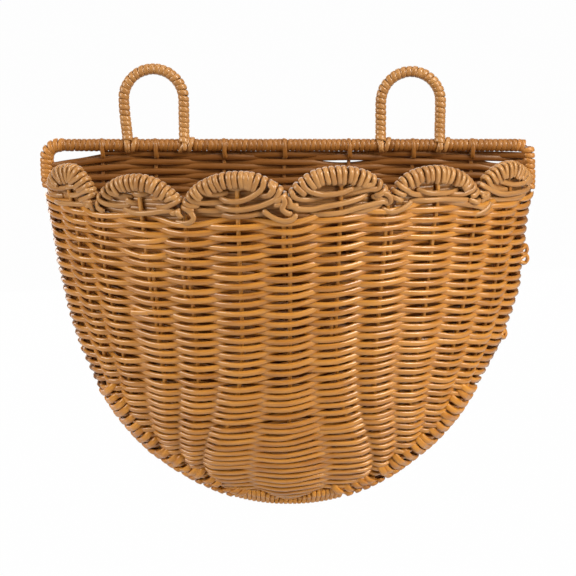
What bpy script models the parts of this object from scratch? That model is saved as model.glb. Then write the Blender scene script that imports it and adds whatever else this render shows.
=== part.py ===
"""Wall basket: a flat woven back and a bulging woven front on a wire hoop, with two hanging loops.

Units are metres and +Z is up. The wall is the plane y = 0, the basket's front faces -Y, and the
origin is a point on the back panel's flat rear face, which lies on the wall.
Heights in the functions below are counted from the centre line of the top bar, downwards negative.
"""
import math

import bmesh
import bpy
import numpy as np
from mathutils import Vector

# Whole basket
basket_width = 0.330
bar_to_bottom = 0.248
bar_above_origin = 0.108
corner_radius = 0.0085
hoop_fullness = 2.1

# Clearance between neighbouring pieces, and how far a cutter runs past what it cuts
fit_gap = 0.0003
cutter_overrun = 0.004

# Steel wires
hoop_wire_diameter = 0.0040
loop_wire_diameter = 0.0032
rim_wire_diameter = 0.0030

# Strand wound round the wires: how high a turn stands on its wire, how deep the groove between
# two turns is, and the pitch of the turns
bar_strand_height = 0.00225
loop_strand_height = 0.0020
rim_strand_height = 0.0022
strand_groove = 0.0006
bar_pitch = 0.0040
loop_pitch = 0.0042
rim_pitch = 0.0050
binding_pitch = 0.0090

# Hanging loops: how far along each half of the bar their middles are, and their centre line's
# width and height
left_loop_share = 0.552
right_loop_share = 0.511
loop_width = 0.0385
loop_height = 0.0525

# Ties: one strand that crosses the bar beside each foot of a loop
tie_thickness = 0.0016
tie_width = 0.0033

# Woven panels: thickness of a weaving strand, and how far the strands swell over each stake
weaver_thickness = 0.0026
swell_height = 0.0026

# Front panel: thickness of its edges, reach from the wall, and the lines that its shape follows
front_thickness = 0.0056
front_reach = 0.107
front_plan_fullness = 1.6
front_profile_power = 0.58
front_rise = 0.0035
rim_drop = 0.025

# Scallops of the front rim, from the middle one outwards: the height of each above the line of the
# valleys, the straight foot of its wire, and its clearance above the woven wall
scallop_heights = (0.0215, 0.018, 0.0155)
scallop_foot = 0.0012
scallop_clearance = 0.0007

# Stakes, which the strands are woven on
stake_diameter = 0.0026
stake_clearance = 0.0004
stake_end_trim = 0.0012
front_stake_rim_shares = (0.162, 0.325, 0.500, 0.676, 0.805)
front_stake_hoop_shares = (0.168, 0.330, 0.460, 0.585, 0.680)
front_corner_hoop_share = 0.765
stake_spread_power = 5

# Back panel, and where the flats of its ribs meet, as shares of the way between two stakes
back_thickness = 0.0056
back_rib_shares = (0.0, 0.25, 0.5, 0.75)
back_stake_spacing_share = 0.26
back_stakes_each_side = 3

# Knots between the scallops
knot_length = 0.0080
knot_height = 0.0046
knot_thickness = 0.0030

# How finely round shapes are cut into flats
tube_sides = 6
plan_steps = 400
hoop_steps = 40
corner_steps = 3
loop_steps = 12
scallop_steps = 10
wall_steps = 6
front_rows = 10
tie_steps = 16
knot_rings = 6
sharp_angle = math.radians(50)

# Sizes that follow from those above
flat_share = math.cos(math.pi / tube_sides)
bar_radius = hoop_wire_diameter / 2 + bar_strand_height
loop_radius = loop_wire_diameter / 2 + loop_strand_height
rim_radius = rim_wire_diameter / 2 + rim_strand_height
half_width = basket_width / 2 - bar_radius
left_loop_x = -left_loop_share * half_width
right_loop_x = right_loop_share * half_width
back_stake_spacing = back_stake_spacing_share * half_width
hoop_y = -(bar_radius + fit_gap + tie_thickness)
side_length = bar_to_bottom - corner_radius
front_seat = -hoop_y + bar_radius + 2 * fit_gap
front_bottom = -(bar_to_bottom - front_rise)
front_depth = front_reach - front_seat
front_height = -rim_drop - front_bottom
scallops_each_side = len(scallop_heights)
sill = -rim_drop - scallop_clearance
back_top = -(bar_radius + tie_thickness + 2 * fit_gap)


def new_material(name, colour, roughness, metallic=0.0):
    """A Principled material with one colour, roughness and metallic value."""
    material = bpy.data.materials.new(name)
    material.use_nodes = True
    shader = material.node_tree.nodes["Principled BSDF"]
    shader.inputs["Base Color"].default_value = (*colour, 1.0)
    shader.inputs["Roughness"].default_value = roughness
    shader.inputs["Metallic"].default_value = metallic
    return material


def place(name, data, material, x=0.0):
    """Put a mesh or curve in the scene as one named piece, hung from the basket's own empty."""
    piece = bpy.data.objects.new(name, data)
    piece.parent = basket
    piece.location = (x, 0, 0)
    bpy.context.collection.objects.link(piece)
    data.materials.append(material)
    return piece


def mesh_from(name, points, faces):
    """A mesh from points and faces, shaded smooth but for its sharp edges."""
    mesh = bpy.data.meshes.new(name)
    mesh.from_pydata([tuple(point) for point in points], [], faces)
    mesh.validate()
    mesh.shade_smooth()
    mesh.set_sharp_from_angle(angle=sharp_angle)
    return mesh


def wire_curve(name, points, diameter, closed=False):
    """A round wire along a list of points."""
    curve = bpy.data.curves.new(name, "CURVE")
    curve.dimensions = "3D"
    curve.bevel_depth = diameter / 2
    curve.bevel_resolution = tube_sides // 2 - 2
    curve.use_fill_caps = True
    spline = curve.splines.new("POLY")
    spline.points.add(len(points) - 1)
    for spot, point in zip(spline.points, points):
        spot.co = (*point, 1.0)
    spline.use_cyclic_u = closed
    return curve


def wire_mesh(name, points, diameter):
    """The same round wire as a mesh, which a Boolean can use."""
    guide = bpy.data.objects.new(name, wire_curve(name, points, diameter))
    bpy.context.collection.objects.link(guide)
    bpy.context.view_layer.update()
    mesh = bpy.data.meshes.new_from_object(guide.evaluated_get(bpy.context.evaluated_depsgraph_get()))
    bpy.data.objects.remove(guide)
    return mesh


def cut(piece, meshes):
    """Cut every one of the meshes out of a piece."""
    for number, mesh in enumerate(meshes):
        cutter = bpy.data.objects.new(f"{piece.name}_cutter_{number}", mesh)
        cutter.parent = basket
        cutter.hide_render = True
        cutter.display_type = "WIRE"
        bpy.context.collection.objects.link(cutter)
        boolean = piece.modifiers.new(f"hole_{number}", "BOOLEAN")
        boolean.operation = "DIFFERENCE"
        boolean.solver = "EXACT"
        boolean.object = cutter


class Path:
    """A line through points that gives its place and two square directions at any length along it."""

    def __init__(self, points, closed=False):
        self.points = np.array([tuple(point) for point in points])
        if closed:
            self.points = np.vstack([self.points, self.points[:1]])
        steps = np.diff(self.points, axis=0)
        lengths = np.linalg.norm(steps, axis=1)
        self.marks = np.concatenate([[0], np.cumsum(lengths)])
        self.length = self.marks[-1]
        steps /= lengths[:, None]
        before = np.vstack([steps[-1:] if closed else steps[:1], steps])
        after = np.vstack([steps, steps[:1] if closed else steps[-1:]])
        tangents = before + after
        tangents /= np.linalg.norm(tangents, axis=1)[:, None]
        side = np.cross(tangents[0], (0, 1, 0))
        sides = []
        for tangent in tangents:
            side = side - tangent * np.dot(side, tangent)
            side = side / np.linalg.norm(side)
            sides.append(side)
        self.tangents = tangents
        self.sides = np.array(sides)

    def ring_point(self, along, turn, radius):
        """The point at a length along the line, at an angle round it and a radius from it."""
        centre, side, tangent = (
            np.array([np.interp(along, self.marks, column) for column in table.T])
            for table in (self.points, self.sides, self.tangents)
        )
        side /= np.linalg.norm(side)
        tangent /= np.linalg.norm(tangent)
        return centre + radius * (math.cos(turn) * side + math.sin(turn) * np.cross(tangent, side))


def wound_sleeve(name, path, wire_diameter, strand_height, pitch, start=0.0, stop=None):
    """A strand wound round a wire: a sleeve with a bore, whose ridge climbs as one long helix.

    Two rows of points, ridge and groove, share each pitch. Each row is sheared round the sleeve, so
    that after one turn it meets the next row of its kind.
    """
    stop = path.length if stop is None else stop
    sides = tube_sides
    ridge = wire_diameter / 2 + strand_height
    groove = ridge - strand_groove
    bore = (wire_diameter / 2 + fit_gap) / flat_share
    turns = [2 * math.pi * side / sides for side in range(sides)]
    rows = 2 * round((stop - start) / pitch) - 3
    half_pitch = (stop - start) / (rows + 3)

    spots = [path.ring_point(start, turn, groove) for turn in turns]
    for row in range(1, rows + 1):
        radius = groove if row % 2 else ridge
        for side, turn in enumerate(turns):
            spots.append(path.ring_point(start + (row + 2 * side / sides) * half_pitch, turn, radius))
    spots += [path.ring_point(stop, turn, groove) for turn in turns]
    last = rows + 1

    def outer(row, side):
        return row * sides + side

    faces = []
    for side in range(sides - 1):
        for row in range(last):
            corners = ((row, side), (row, side + 1), (row + 1, side + 1), (row + 1, side))
            faces.append([outer(*corner) for corner in corners])
    seam = sides - 1
    seam_faces = [
        ((0, seam), (0, 0), (1, 0), (2, 0), (3, 0), (1, seam)),
        *(((row, seam), (row + 2, 0), (row + 3, 0), (row + 1, seam)) for row in range(1, rows - 2)),
        ((rows - 2, seam), (rows, 0), (last, 0), (last, seam), (rows, seam), (rows - 1, seam)),
    ]
    faces += [[outer(*corner) for corner in corners] for corners in seam_faces]

    first_inner = len(spots)
    marks = [start, *(mark for mark in path.marks if start + fit_gap < mark < stop - fit_gap), stop]
    for mark in marks:
        spots += [path.ring_point(mark, turn, bore) for turn in turns]
    last_inner = len(marks) - 1

    def inner(ring, side):
        return first_inner + ring * sides + side

    for side in range(sides):
        after = (side + 1) % sides
        for ring in range(last_inner):
            corners = ((ring, side), (ring + 1, side), (ring + 1, after), (ring, after))
            faces.append([inner(*corner) for corner in corners])
        faces.append((outer(0, side), inner(0, side), inner(0, after), outer(0, after)))
        end = (outer(last, side), outer(last, after), inner(last_inner, after), inner(last_inner, side))
        faces.append(end)
    return mesh_from(name, spots, faces)


def turned_ring(name, inner_radius, outer_radius, width, middle):
    """A flat band turned round the bar, square in section."""
    shape = bmesh.new()
    corners = [
        (middle.x - width / 2, middle.y, middle.z + inner_radius),
        (middle.x + width / 2, middle.y, middle.z + inner_radius),
        (middle.x + width / 2, middle.y, middle.z + outer_radius),
        (middle.x - width / 2, middle.y, middle.z + outer_radius),
    ]
    spots = [shape.verts.new(corner) for corner in corners]
    edges = [shape.edges.new((spots[number - 1], spots[number])) for number in range(len(spots))]
    bmesh.ops.spin(
        shape,
        geom=spots + edges,
        cent=middle,
        axis=(1, 0, 0),
        angle=2 * math.pi,
        steps=tie_steps,
        use_merge=True,
    )
    bmesh.ops.recalc_face_normals(shape, faces=shape.faces)
    mesh = bpy.data.meshes.new(name)
    shape.to_mesh(mesh)
    shape.free()
    mesh.shade_smooth()
    mesh.set_sharp_from_angle(angle=sharp_angle)
    return mesh


def hoop_half_width(height, bottom=-bar_to_bottom):
    """Half the width between the hoop's centre lines at a height, down to a given bottom."""
    drop = min(max((-corner_radius - height) / (-corner_radius - bottom), 0), 1)
    return half_width * (1 - drop**hoop_fullness) ** (1 / hoop_fullness)


def hoop_height(x, bottom=-bar_to_bottom):
    """The height of the hoop's lower run at a place across it."""
    share = min(abs(x) / half_width, 1)
    return -corner_radius - (-corner_radius - bottom) * (1 - share**hoop_fullness) ** (1 / hoop_fullness)


def corner_points(sign):
    """The hoop's rounded upper corner, from the bar to the side."""
    points = []
    for step in range(corner_steps + 1):
        angle = math.pi / 2 * step / corner_steps
        x = half_width - corner_radius + corner_radius * math.sin(angle)
        points.append(Vector((sign * x, hoop_y, -corner_radius + corner_radius * math.cos(angle))))
    return points


def lower_points():
    """The hoop's long lower run, from its left side round the bottom to its right side."""
    points = []
    for step in range(hoop_steps + 1):
        angle = math.pi * step / hoop_steps
        across = math.copysign(abs(math.cos(angle)) ** (2 / hoop_fullness), math.cos(angle))
        down = abs(math.sin(angle)) ** (2 / hoop_fullness)
        points.append(Vector((-half_width * across, hoop_y, -corner_radius - side_length * down)))
    return points


def hoop_points():
    """The whole hoop's centre line, a closed ring: left corner, lower run, right corner."""
    return corner_points(-1) + lower_points()[1:-1] + corner_points(1)[::-1]


def front_point(x, height):
    """A point on the middle of the front panel's wall, at a place across it and a height."""
    width_here = hoop_half_width(height, front_bottom)
    share = min(abs(x) / width_here, 1) if width_here else 1
    rise = max(height - front_bottom, 0) / front_height
    bulge = (1 - share**front_plan_fullness) ** (1 / front_plan_fullness)
    return Vector((x, -front_seat - front_depth * rise**front_profile_power * bulge, height))


def rim_table():
    """The front rim seen from above: places across it, and the length along it from the middle."""
    angles = np.linspace(0, math.pi / 2, plan_steps)
    across = half_width * np.sin(angles) ** (2 / front_plan_fullness)
    out = front_depth * np.cos(angles) ** (2 / front_plan_fullness)
    steps = np.hypot(np.diff(across), np.diff(out))
    return across, np.concatenate([[0], np.cumsum(steps)])


rim_across, rim_lengths = rim_table()
rim_half_length = rim_lengths[-1]


def rim_x(along):
    """The place across the basket of a point at a length along the rim from its middle."""
    return math.copysign(np.interp(abs(along), rim_lengths, rim_across), along)


def scallop_span(number):
    """The two ends of a scallop's wire along the rim, from the middle one outwards."""
    ends = (0.0, *front_stake_rim_shares[1::2], 1.0)
    start = ends[number] * rim_half_length + rim_radius + fit_gap
    stop = ends[number + 1] * rim_half_length - rim_radius - fit_gap
    return start, stop


def scallop_spot(number, turn, inset=0.0):
    """A scallop's outline: length along the rim and height, at an angle round it from its inner end."""
    start, stop = scallop_span(number)
    half_span = (stop - start) / 2
    height = scallop_heights[number] - scallop_foot
    slope = math.hypot(height * math.cos(turn), half_span * math.sin(turn))
    along = (start + stop) / 2 - half_span * math.cos(turn) + inset * height * math.cos(turn) / slope
    rise = height * math.sin(turn) - inset * half_span * math.sin(turn) / slope
    return along, -rim_drop + scallop_foot + rise


def scallop_points(number, sign):
    """The centre line of a scallop's wire, standing on the front panel's surface."""
    spots = [scallop_spot(number, math.pi * step / scallop_steps) for step in range(scallop_steps + 1)]
    first, last = spots[0][0], spots[-1][0]
    spots = [(first, -rim_drop), *spots, (last, -rim_drop)]
    return [front_point(rim_x(sign * along), height) for along, height in spots]


def front_columns():
    """Where each column of the front panel's wall starts on its upper edge: length and height."""
    half = [(0.0, sill)]
    for number, valley_share in enumerate((*front_stake_rim_shares[1::2], 1.0)):
        edge = [
            scallop_spot(number, math.pi * step / wall_steps, rim_radius + scallop_clearance)
            for step in range(wall_steps + 1)
        ]
        half += [(edge[0][0], sill), *edge[1:-1], (edge[-1][0], sill)]
        half.append((valley_share * rim_half_length, sill))
    mirrored = [(-along, height) for along, height in reversed(half[1:])]
    return mirrored + half


def front_column(along, top):
    """One column of points down the front panel, from its upper edge to the hoop."""
    rim_shares = (0.0, *front_stake_rim_shares, 1.0)
    hoop_shares = (0.0, *front_stake_hoop_shares, front_corner_hoop_share)
    end_x = half_width * np.interp(abs(along) / rim_half_length, rim_shares, hoop_shares)
    end_height = hoop_height(end_x, front_bottom)
    top_share = min(abs(rim_x(along)) / half_width, 1)
    points = []
    for row in range(front_rows + 1):
        down = row / front_rows
        height = top + (end_height - top) * down
        share = top_share + (1 - top_share) * down**stake_spread_power if along else 0
        x = math.copysign(share * hoop_half_width(height, front_bottom), along)
        points.append(front_point(x, height))
    return points


def swell(marks, spots):
    """How far strands woven on stakes swell at places among them: all the way at every stake."""
    return swell_height * np.abs(np.cos(math.pi * np.interp(spots, marks, range(len(marks)))))


def front_half_thickness(alongs):
    """Half the wall's thickness at each column and row: ribs over the stakes, plain at the edges."""
    marks = [share * rim_half_length for share in (0.0, *front_stake_rim_shares, 1.0)]
    half = np.full((len(alongs), front_rows + 1), front_thickness / 2)
    half[1:-1, 1:-1] = weaver_thickness / 2 + swell(marks, np.abs(alongs[1:-1]))[:, None]
    return half[:, :, None]


def front_wall():
    """The front panel as one closed wall: an outer and an inner skin joined round all four edges."""
    starts = front_columns()
    grid = np.array([[tuple(point) for point in front_column(*start)] for start in starts])
    half = front_half_thickness(np.array([along for along, top in starts]))
    columns, rows = grid.shape[:2]
    down, across = np.gradient(grid, axis=1), np.gradient(grid, axis=0)
    normals = np.cross(down, across)
    normals[:, -1] = np.cross((0, 1, 0), across[:, -1])
    normals[0] = np.cross((0, 1, 0), down[0])
    normals[-1] = np.cross(down[-1], (0, 1, 0))
    normals /= np.linalg.norm(normals, axis=2)[:, :, None]
    outer = (grid + normals * half).reshape(-1, 3)
    inner = (grid - normals * half).reshape(-1, 3)

    def spot(skin, column, row):
        return (skin * columns + column) * rows + row

    faces = []
    for column in range(columns - 1):
        for row in range(rows - 1):
            corners = [(column, row), (column, row + 1), (column + 1, row + 1), (column + 1, row)]
            faces.append([spot(0, *corner) for corner in corners])
            faces.append([spot(1, *corner) for corner in reversed(corners)])
        for row, order in ((0, 1), (rows - 1, -1)):
            edge = [(0, column), (0, column + 1), (1, column + 1), (1, column)]
            faces.append([spot(*corner, row) for corner in edge[::order]])
    for row in range(rows - 1):
        for column, order in ((0, -1), (columns - 1, 1)):
            edge = [(0, row), (0, row + 1), (1, row + 1), (1, row)]
            faces.append([spot(skin, column, level) for skin, level in edge[::order]])
    mesh = mesh_from("front_weave", np.concatenate([outer, inner]), faces)
    shape = bmesh.new()
    shape.from_mesh(mesh)
    bmesh.ops.recalc_face_normals(shape, faces=shape.faces)
    shape.to_mesh(mesh)
    shape.free()
    return mesh


def front_stake_starts():
    """The upper ends of the front stakes: one at each scallop's crown and one at each valley."""
    starts = [(0.0, sill)]
    for number, share in enumerate(front_stake_rim_shares):
        along, top = share * rim_half_length, sill
        if number % 2 == 0:
            along, top = scallop_spot(number // 2, math.pi / 2, rim_radius + scallop_clearance)
        starts += [(along, top), (-along, top)]
    return sorted(starts)


def trimmed(points, trim):
    """A line of points with both ends moved inwards, or outwards for a trim below zero."""
    line = list(points)
    line[0] = points[0] + (points[1] - points[0]).normalized() * trim
    line[-1] = points[-1] + (points[-2] - points[-1]).normalized() * trim
    return line


def back_stake_places():
    """Where the back's stakes stand across the basket."""
    numbers = range(-back_stakes_each_side, back_stakes_each_side + 1)
    return [number * back_stake_spacing for number in numbers]


def raise_ribs(shape):
    """Raise a rib over each stake on the front of the flat back, in flats that run down it."""
    marks = back_stake_places()
    marks = [marks[0] - back_stake_spacing, *marks, marks[-1] + back_stake_spacing]
    spots = [mark + share * back_stake_spacing for mark in marks[:-1] for share in back_rib_shares]
    for spot in spots:
        everything = [*shape.verts, *shape.edges, *shape.faces]
        bmesh.ops.bisect_plane(shape, geom=everything, plane_co=(spot, 0, 0), plane_no=(1, 0, 0))
    for vert in shape.verts:
        if vert.co.y < -back_thickness / 2:
            vert.co.y -= float(np.interp(vert.co.x, spots, swell(marks, spots)))


def back_panel():
    """The back: an outline inside the hoop, drawn out from the wall, flat behind and ribbed in front."""
    inset = bar_radius + fit_gap
    ring = hoop_points()
    outline = []
    for number, here in enumerate(ring):
        coming = (here - ring[number - 1]).normalized()
        going = (ring[(number + 1) % len(ring)] - here).normalized()
        along = (coming + going).normalized()
        inward = Vector((-along.z, 0, along.x))
        outline.append(here + inward * inset / along.dot(going))
    shape = bmesh.new()
    face = shape.faces.new([shape.verts.new((point.x, 0, min(point.z, back_top))) for point in outline])
    drawn = bmesh.ops.extrude_face_region(shape, geom=[face])
    moved = [item for item in drawn["geom"] if isinstance(item, bmesh.types.BMVert)]
    bmesh.ops.translate(shape, verts=moved, vec=(0, -back_thickness, 0))
    raise_ribs(shape)
    bmesh.ops.recalc_face_normals(shape, faces=shape.faces)
    mesh = bpy.data.meshes.new("back_weave")
    shape.to_mesh(mesh)
    shape.free()
    return mesh


def back_stake_line(x):
    """The two ends of a back stake, clear of the bar's winding and of the hoop's binding."""
    inset = bar_radius + fit_gap
    low_x = abs(x) + stake_diameter
    slope = math.hypot(1, (hoop_height(low_x) - hoop_height(abs(x))) / stake_diameter)
    middle = -(back_thickness + swell_height) / 2
    return [Vector((x, middle, back_top)), Vector((x, middle, hoop_height(low_x) + inset * slope))]


def knot_mesh(name, along):
    """A small oblong knot on the front panel's outer face, below the valley between two scallops."""
    height = sill - knot_height / 2
    here = front_point(rim_x(along), height)
    above = front_point(rim_x(along), height + knot_height / 2)
    beside = front_point(rim_x(along + knot_height / 2), height)
    up = (above - here).normalized()
    out = (beside - here).cross(above - here).normalized()
    across = up.cross(out)
    middle = here + out * (front_thickness / 2 + 2 * fit_gap + knot_thickness / 2)
    shape = bmesh.new()
    bmesh.ops.create_uvsphere(shape, u_segments=tube_sides + 2, v_segments=knot_rings, radius=1)
    for spot in shape.verts:
        unit = spot.co.copy()
        spot.co = middle + across * unit.z * knot_length / 2 + up * unit.x * knot_height / 2
        spot.co += out * unit.y * knot_thickness / 2
    mesh = bpy.data.meshes.new(name)
    shape.to_mesh(mesh)
    shape.free()
    mesh.shade_smooth()
    return mesh


def loop_points(bottom):
    """A hanging loop's centre line: a leg up, half a turn, and a leg down."""
    radius = loop_width / 2
    crown = loop_height - radius
    points = [Vector((-radius, hoop_y, bottom))]
    for step in range(loop_steps + 1):
        angle = math.pi * step / loop_steps
        points.append(Vector((-radius * math.cos(angle), hoop_y, crown + radius * math.sin(angle))))
    points.append(Vector((radius, hoop_y, bottom)))
    return points


def build_hoop():
    """The hoop's wire, the windings on its bar and corners, and the binding of its lower run."""
    ring = hoop_points()
    place("hoop_wire", wire_curve("hoop_wire", ring, hoop_wire_diameter, closed=True), steel)

    path = Path(ring, closed=True)
    left_side, right_side = (
        next(path.marks[spot] for spot in order if ring[spot].z < -rim_drop)
        for order in (range(len(ring)), reversed(range(len(ring))))
    )
    bar_start = path.marks[len(ring) - 1]
    sleeves = (
        ("corner_winding_left", 0, left_side, bar_pitch),
        ("hoop_binding", left_side, right_side, binding_pitch),
        ("corner_winding_right", right_side, bar_start, bar_pitch),
        ("bar_winding", bar_start, path.length, bar_pitch),
    )
    for name, start, stop, pitch in sleeves:
        ends = (start + fit_gap / 2, stop - fit_gap / 2)
        sleeve = wound_sleeve(name, path, hoop_wire_diameter, bar_strand_height, pitch, *ends)
        winding = place(name, sleeve, strand)

    leg_hole = (loop_wire_diameter + 2 * fit_gap) / flat_share
    reach = bar_radius + cutter_overrun
    cut(winding, [
        wire_mesh("leg_hole", [Vector((x, hoop_y, 0)), Vector((x, hoop_y, reach))], leg_hole)
        for x in leg_places()
    ])


def leg_places():
    """Where the four legs of the two hanging loops stand along the bar."""
    return [middle + side * loop_width / 2 for middle in (left_loop_x, right_loop_x) for side in (-1, 1)]


def build_loops():
    """Two hanging loops: a wire whose legs stand on the hoop's wire, its winding, and the ties."""
    wire = wire_curve("loop_wire", loop_points(hoop_wire_diameter / 2 + fit_gap), loop_wire_diameter)
    foot = bar_radius + fit_gap
    path = Path(loop_points(foot))
    sleeve = wound_sleeve("loop_winding", path, loop_wire_diameter, loop_strand_height, loop_pitch)
    for word, x in (("left", left_loop_x), ("right", right_loop_x)):
        place(f"loop_wire_{word}", wire, steel, x)
        place(f"loop_winding_{word}", sleeve, strand, x)
    tie_offset = loop_radius + tie_width / 2 + 2 * fit_gap
    band = turned_ring("loop_tie", foot, foot + tie_thickness, tie_width, Vector((0, hoop_y, 0)))
    for number, x in enumerate(leg_places(), 1):
        place(f"loop_tie_{number}", band, strand, x + tie_offset)


def build_rim():
    """Six scallops along the front rim, each a bent wire under its winding, and five knots."""
    for number in range(scallops_each_side):
        for word, sign in (("left", -1), ("right", 1)):
            line = scallop_points(number, sign)
            name = f"scallop_wire_{word}_{number + 1}"
            place(name, wire_curve(name, line, rim_wire_diameter), steel)
            name = f"scallop_winding_{word}_{number + 1}"
            sleeve = wound_sleeve(name, Path(line), rim_wire_diameter, rim_strand_height, rim_pitch)
            place(name, sleeve, strand)
    valleys = [share * rim_half_length for share in front_stake_rim_shares[1::2]]
    places = [-along for along in reversed(valleys)] + [0.0] + valleys
    for number, along in enumerate(places, 1):
        name = f"rim_knot_{number}"
        place(name, knot_mesh(name, along), strand)


def build_front():
    """The woven front panel, with a channel for each of its stakes, and the stakes in them."""
    panel = place("front_weave", front_wall(), weave)
    channel_diameter = stake_diameter + 2 * stake_clearance
    channels = []
    for number, start in enumerate(front_stake_starts(), 1):
        line = front_column(*start)
        channels.append(wire_mesh("channel", trimmed(line, -cutter_overrun), channel_diameter))
        name = f"front_stake_{number:02d}"
        place(name, wire_curve(name, trimmed(line, stake_end_trim), stake_diameter), stake)
    cut(panel, channels)


def build_back():
    """The flat woven back panel, with a channel for each of its stakes, and the stakes in them."""
    panel = place("back_weave", back_panel(), weave)
    channel_diameter = stake_diameter + 2 * stake_clearance
    channels = []
    for number, x in enumerate(back_stake_places(), 1):
        line = back_stake_line(x)
        channels.append(wire_mesh("channel", trimmed(line, -2 * cutter_overrun), channel_diameter))
        name = f"back_stake_{number}"
        place(name, wire_curve(name, line, stake_diameter), stake)
    cut(panel, channels)


for leftover in list(bpy.data.objects):
    bpy.data.objects.remove(leftover)

steel = new_material("steel wire", (0.32, 0.31, 0.30), 0.35, 1.0)
strand = new_material("wound strand", (0.55, 0.26, 0.075), 0.38)
weave = new_material("woven strand", (0.47, 0.21, 0.06), 0.42)
stake = new_material("stake", (0.42, 0.18, 0.05), 0.42)

basket = bpy.data.objects.new("basket", None)
basket.location = (0, 0, bar_above_origin)
bpy.context.collection.objects.link(basket)

build_hoop()
build_loops()
build_rim()
build_front()
build_back()
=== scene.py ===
"""Looks for the wall basket: every strand, stake and wire as its own tube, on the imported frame.

Units are metres and +Z is up. Heights in the functions are counted from the centre line of the top
bar, downwards negative, as in the part's own source; BAR_Z is added when a mesh is made.
"""
import math

import bpy
import numpy as np
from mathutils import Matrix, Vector


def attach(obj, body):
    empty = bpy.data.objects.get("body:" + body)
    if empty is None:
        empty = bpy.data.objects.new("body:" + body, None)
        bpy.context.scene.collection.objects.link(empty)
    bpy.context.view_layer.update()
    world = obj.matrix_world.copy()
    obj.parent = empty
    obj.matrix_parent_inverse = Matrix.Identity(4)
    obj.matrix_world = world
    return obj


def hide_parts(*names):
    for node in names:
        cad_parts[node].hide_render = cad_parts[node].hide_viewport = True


rng = np.random.default_rng(11)
PI = math.pi
FRONT = np.array((0.0, -1.0, 0.0))
BACK = np.array((0.0, 1.0, 0.0))

# The hoop and the two panels
BAR_Z = 0.108
HALF = 0.16075
CORNER = 0.0085
HOOP_POWER = 2.1
HOOP_Y = -0.00615
HOOP_BOTTOM = -0.248
FRONT_BOTTOM = -0.2445
FRONT_REACH = 0.107
DEPTH = FRONT_REACH + HOOP_Y
PLAN_POWER = 1.6
PROFILE_POWER = 0.58
RIM_DROP = 0.025
BACK_Y = -0.0043

# Wires and stakes: half their thickness
HOOP_WIRE = 0.0020
LOOP_WIRE = 0.0016
RIM_WIRE = 0.0015
STAKE = 0.0014
BACK_STAKE = 0.0012
# Strands: half the width across the strand and half its thickness
WEAVER = (0.00191, 0.00130)
CUT_STRAND = (0.00180, 0.00125)
BACK_WEAVER = (0.00212, 0.00110)
BACK_SHORT = (0.0014, 0.0009)
BACK_STRIP = (0.0021, 0.0010)
STAKE_TIE = (0.00142, 0.00105)
BAR_STRAND = (0.00172, 0.00102)
LOOP_STRAND = (0.00186, 0.00082)
LOOP_TIE = (0.00170, 0.00095)
LOOP_TIE_TURN = (0.00165, 0.00095)
LOOP_FOOT = (0.0016, 0.0011)
RIM_STRAND = (0.00168, 0.00132)
ARCH_STRAND = (0.00172, 0.00125)
KNOT_STRAND = (0.00165, 0.00118)
SEAM_COARSE = (0.00235, 0.00125)
SEAM_CLOSE = (0.00158, 0.00110)
SLACK = 0.0002  # between a strand and what it is wound on
ROUNDNESS = 0.74  # below 1 a strand's section is squarer than an ellipse

# Stakes: distance from the middle and height of the top, then the share of the hoop's half width below
LEFT_TOPS = ((0.0310, -0.0100), (0.0643, -0.0275), (0.0924, -0.0160), (0.1240, -0.0290), (0.1418, -0.0240))
RIGHT_TOPS = ((0.0313, -0.0068), (0.0603, -0.0240), (0.0922, -0.0098), (0.1204, -0.0260), (0.1430, -0.0225))
MIDDLE_TOP = (0.0008, -0.0250)
HOOP_SHARES = (0.168, 0.330, 0.460, 0.585, 0.680)
BACK_STAKES = (-0.1240, -0.0885, -0.0430, -0.0030, 0.0400, 0.0825, 0.1220)
ROW_PITCH_TOP = 0.0033
ROW_PITCH_LOW = 0.0025
SEAM_FROM = -0.172  # below this the strand of the seam binds both panels to the hoop

# How the photographed basket is bent, as distances below the bar and how far a point there moves:
# its sides in or out, then its front rows and rim above a level line
PINCH_LEFT = ((0.024, 0.040, 0.055, 0.100, 0.142), (0, 0.0027, 0.0036, 0.0029, 0))
PUSH_RIGHT = (
    (0.0, 0.004, 0.012, 0.020, 0.028, 0.040, 0.050, 0.060, 0.070, 0.080, 0.088, 0.096, 0.118, 0.135, 0.150),
    (-0.0006, -0.0011, -0.0010, -0.0004, 0, -0.0030, -0.0033, -0.0028, -0.0023, -0.0021, -0.0008, 0.0008,
     0.0006, 0.0012, 0),
)
FLARE_LEFT = ((0.150, 0.170, 0.190, 0.215, 0.238), (0, 0.0022, 0.0030, 0.0030, 0))
FLARE_RIGHT = ((0.165, 0.185, 0.205, 0.225), (0, 0.0016, 0.0016, 0))
LEAN_SIZE = ((0.030, 0.077, 0.145, 0.205), (0.0047, 0.0064, 0.0076, 0.0070))
LEAN_LIFT = ((0.025, 0.060, 0.145, 0.205), (0.0008, 0.0002, 0.0012, 0.0016))

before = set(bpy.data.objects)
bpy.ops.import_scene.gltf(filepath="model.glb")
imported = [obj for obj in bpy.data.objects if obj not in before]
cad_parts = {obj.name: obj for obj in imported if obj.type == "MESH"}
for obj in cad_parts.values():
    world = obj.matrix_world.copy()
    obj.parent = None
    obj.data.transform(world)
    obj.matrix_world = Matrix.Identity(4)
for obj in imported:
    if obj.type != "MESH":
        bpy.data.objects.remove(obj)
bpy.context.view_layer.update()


# Lines
def unit(v):
    return v / np.maximum(np.linalg.norm(v, axis=-1, keepdims=True), 1e-12)


def drawn(least, span):
    """A random value from least up to least + span."""
    return least + span * rng.random()


def marks_along(points):
    """The length along a polyline at each of its points."""
    return np.concatenate([[0], np.cumsum(np.linalg.norm(np.diff(points, axis=0), axis=1))])


def smooth(share):
    return share * share * (3 - 2 * share)


def side_share(x, width):
    return np.clip(x / width, 0, 1) ** 2


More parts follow.
